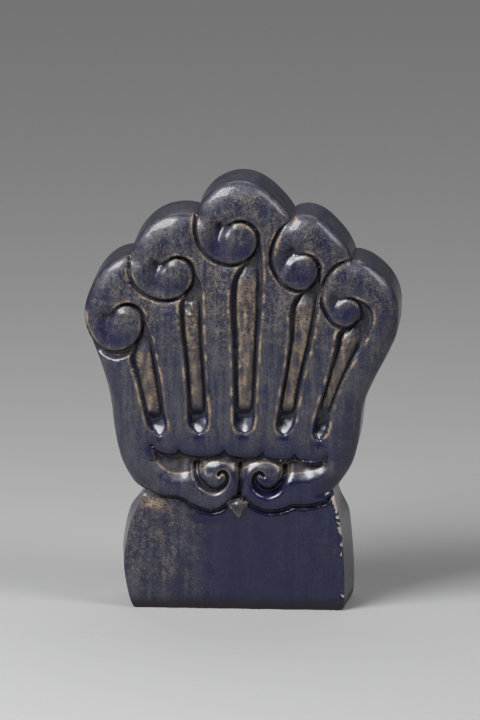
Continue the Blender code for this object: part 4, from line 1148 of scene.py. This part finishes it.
def cobalt_glaze():
    """Deep blue glaze: hazed and speckled on the open face, tan on edges, dark and clear where it pooled,
    with shade painted into cuts and under edges.
    """
    paint = Paint("cobalt_glaze")
    thin, pool, clear, dark, rough, bare, wall = (paint.mark(name) for name in (*MARKS, "wall"))
    thin = thin * (1 - 0.6 * pool)
    cloud = paint.noise(0.030, 3.0)
    patch = paint.noise(0.009, 5.0, 0.6)
    blotch = paint.noise(0.0030, 4.0, 0.65, offset=3.0)
    speck = paint.noise(0.0010, 3.0, 0.65)
    fleck = paint.noise(0.0012, 3.0, 0.65, offset=9.0)
    grain = paint.noise(0.0005, 2.0)
    wear = paint.noise(0.014, 3.0, 0.6, offset=7.0)
    depths = paint.noise(0.013, 4.0, 0.6, offset=5.0)
    streak = paint.noise(0.0030, 4.0, 0.65, stretch=(1, 1, 0.08))
    wiped = paint.noise(0.0020, 4.0, 0.6, stretch=(0.06, 1, 0.06))
    haze = (0.15 * cloud + 0.10 * patch + 0.55 * streak + 0.25 * speck).ease(0.46, 0.59) * (1 - pool)
    open_glaze = (0.20 + 0.80 * rough) * (1 - 0.9 * pool) * (1 - 0.7 * wall)
    pale = (0.15 * streak + 0.26 * blotch + 0.64 * speck).ease(0.46, 0.66)
    pale = pale * open_glaze * (0.35 + 0.65 * patch.ease(0.36, 0.62))
    pits = (0.15 * streak + 0.30 * blotch + 0.60 * fleck).ease(0.53, 0.45) * open_glaze
    browned = (thin * (0.5 + 0.5 * blotch + 0.5 * wear)).ease(0.25, 0.75)
    worn_tan = (thin * (0.55 * wear + 0.60 * blotch + 0.85 * speck)).ease(0.50, 1.02)
    lines = wiped.ease(0.55, 0.44) * wall
    # Darker towards the bottom: over the lowest centimetre or so the colour turns near black, rougher and
    # uncoated
    height = paint.node("ShaderNodeSeparateXYZ", {}, {"Vector": paint.place}, "Z")
    hem = (height + 0.005 * patch).ease(0.0115, 0.0045)
    clay = (bare * (0.20 + 0.80 * speck + 0.70 * fleck)).ease(0.48, 0.84)
    layers = (
        (haze * 0.60, HAZE),
        (rough * depths.ease(0.50, 0.60) * 0.55, DEEP),
        ((0.3 + 0.7 * rough) * patch.ease(0.35, 0.65) * (1 - pool) * 0.34, BROWN),
        (pale * 0.80, GREY_BROWN),
        (browned * 0.75, BROWN),
        (worn_tan * 0.85, TAN),
        ((pits * 0.95).most(lines * 0.8), INK),
        # Painted shade in the cuts and under the fan's edge, and the block's stain ring
        (dark * 0.80, SHADE_AND_STAIN_BLACK),
        (hem * 0.92, FOOT_BROWN),
        (clay, CLAY),
    )
    colour = paint.mix(pool, COBALT, DEEP)
    for share, tint in layers:
        colour = paint.mix(share, colour, tint)
    gloss = 0.24 + 0.14 * rough * patch + 0.10 * speck - 0.06 * pool + 0.03 * clear + 0.03 * wall
    gloss = (gloss + 0.45 * clay + 0.20 * hem).clamped()
    coat = (0.42 - 0.16 * clear - 0.10 * rough).clamped() * (1 - clay) * (1 - 0.8 * hem)
    bumps = (0.8 * speck + 0.3 * grain + 0.8 * patch + 0.7 * blotch) * (1 - 0.8 * pool) * (1 - 0.8 * clear)
    bumps = bumps + 0.5 * wiped * wall + 0.7 * fleck * rough
    bump = paint.node("ShaderNodeBump", {}, {"Strength": 0.45, "Distance": 0.0006, "Height": bumps})
    return paint.finish({"Base Color": colour, "Roughness": gloss, "Coat Weight": coat.clamped(),
                         "Coat Roughness": 0.11, "Specular IOR Level": 0.40, "Normal": bump})


def studio_floor():
    """Plain pale paper."""
    paint = Paint("studio_paper")
    fibre = paint.noise(0.004, 3.0)
    shade = paint.mix(fibre, (0.280, 0.280, 0.282, 1), (0.294, 0.294, 0.296, 1))
    return paint.finish({"Base Color": shade, "Roughness": 0.9, "Specular IOR Level": 0.2})


# The camera stands far off, and its frame's long side spans this much at the carved face, in metres
CAMERA_AWAY = 6.0
SEEN_HEIGHT = 0.3948

# The camera's sensor in millimetres, and how far it stands to the right and above the front, in degrees
SENSOR = 36
CAMERA_BEARING = (3.9, 12)

# The floor's size and the place the lights face, in metres; each light's bearing and height in degrees, then
# its distance, width, height and watts; and the grey room round them
FLOOR_RADIUS = 9.0
BODY_MIDDLE = Vector((0, 0, 0.13))
LIGHTS = (
    ("key_light", (-43, 45), 1.3, 0.74, 0.74, 32),
    ("side_light", (62, 42), 1.4, 0.45, 0.8, 11),
)
ROOM_GREY = (0.5, 0.5, 0.51, 1)
ROOM_STRENGTH = 0.16


def aimed(thing, place, target):
    thing.location = place
    thing.rotation_euler = (Vector(target) - Vector(place)).to_track_quat("-Z", "Y").to_euler()
    bpy.context.scene.collection.objects.link(thing)
    return thing


def soft_light(name, place, target, wide, high, power):
    light = bpy.data.lights.new(name, "AREA")
    light.shape = "RECTANGLE"
    light.size = wide
    light.size_y = high
    light.energy = power
    return aimed(bpy.data.objects.new(name, light), place, target)


def direction(azimuth, elevation):
    a, e = math.radians(azimuth), math.radians(elevation)
    return Vector((math.sin(a) * math.cos(e), -math.cos(a) * math.cos(e), math.sin(e)))


def studio(shift):
    """The paper floor, the soft lights, the grey room and the camera."""
    bpy.ops.object.select_all(action="DESELECT")
    bpy.ops.mesh.primitive_circle_add(vertices=96, radius=FLOOR_RADIUS, fill_type="NGON", location=(0, 0, 0))
    floor = bpy.context.active_object
    floor.name = "studio_floor"
    floor.data.materials.append(studio_floor())
    floor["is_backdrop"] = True
    for name, bearing, away, wide, high, power in LIGHTS:
        soft_light(name, BODY_MIDDLE + direction(*bearing) * away, BODY_MIDDLE, wide, high, power)
    soft_light("top_light", Vector((0, 2.5, 3.6)), Vector((0, 2.4, 0)), 3.0, 3.0, 56)
    world = bpy.data.worlds.new("grey_room")
    world.use_nodes = True
    room = world.node_tree.nodes["Background"].inputs
    room["Color"].default_value = ROOM_GREY
    room["Strength"].default_value = ROOM_STRENGTH
    bpy.context.scene.world = world
    lens = bpy.data.cameras.new("camera")
    lens.sensor_width = SENSOR
    lens.lens = SENSOR * CAMERA_AWAY / SEEN_HEIGHT
    lens.clip_end = 100
    target = Vector((shift - 0.0005, -0.022, 0.1414))
    place = target + direction(*CAMERA_BEARING) * CAMERA_AWAY
    camera = aimed(bpy.data.objects.new("camera", lens), place, target)
    bpy.context.scene.camera = camera
    bpy.context.scene.view_settings.view_transform = "Standard"


body, shift = glazed_body(cobalt_glaze())
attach(body, "root")
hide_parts("roof_ornament")
studio(shift)
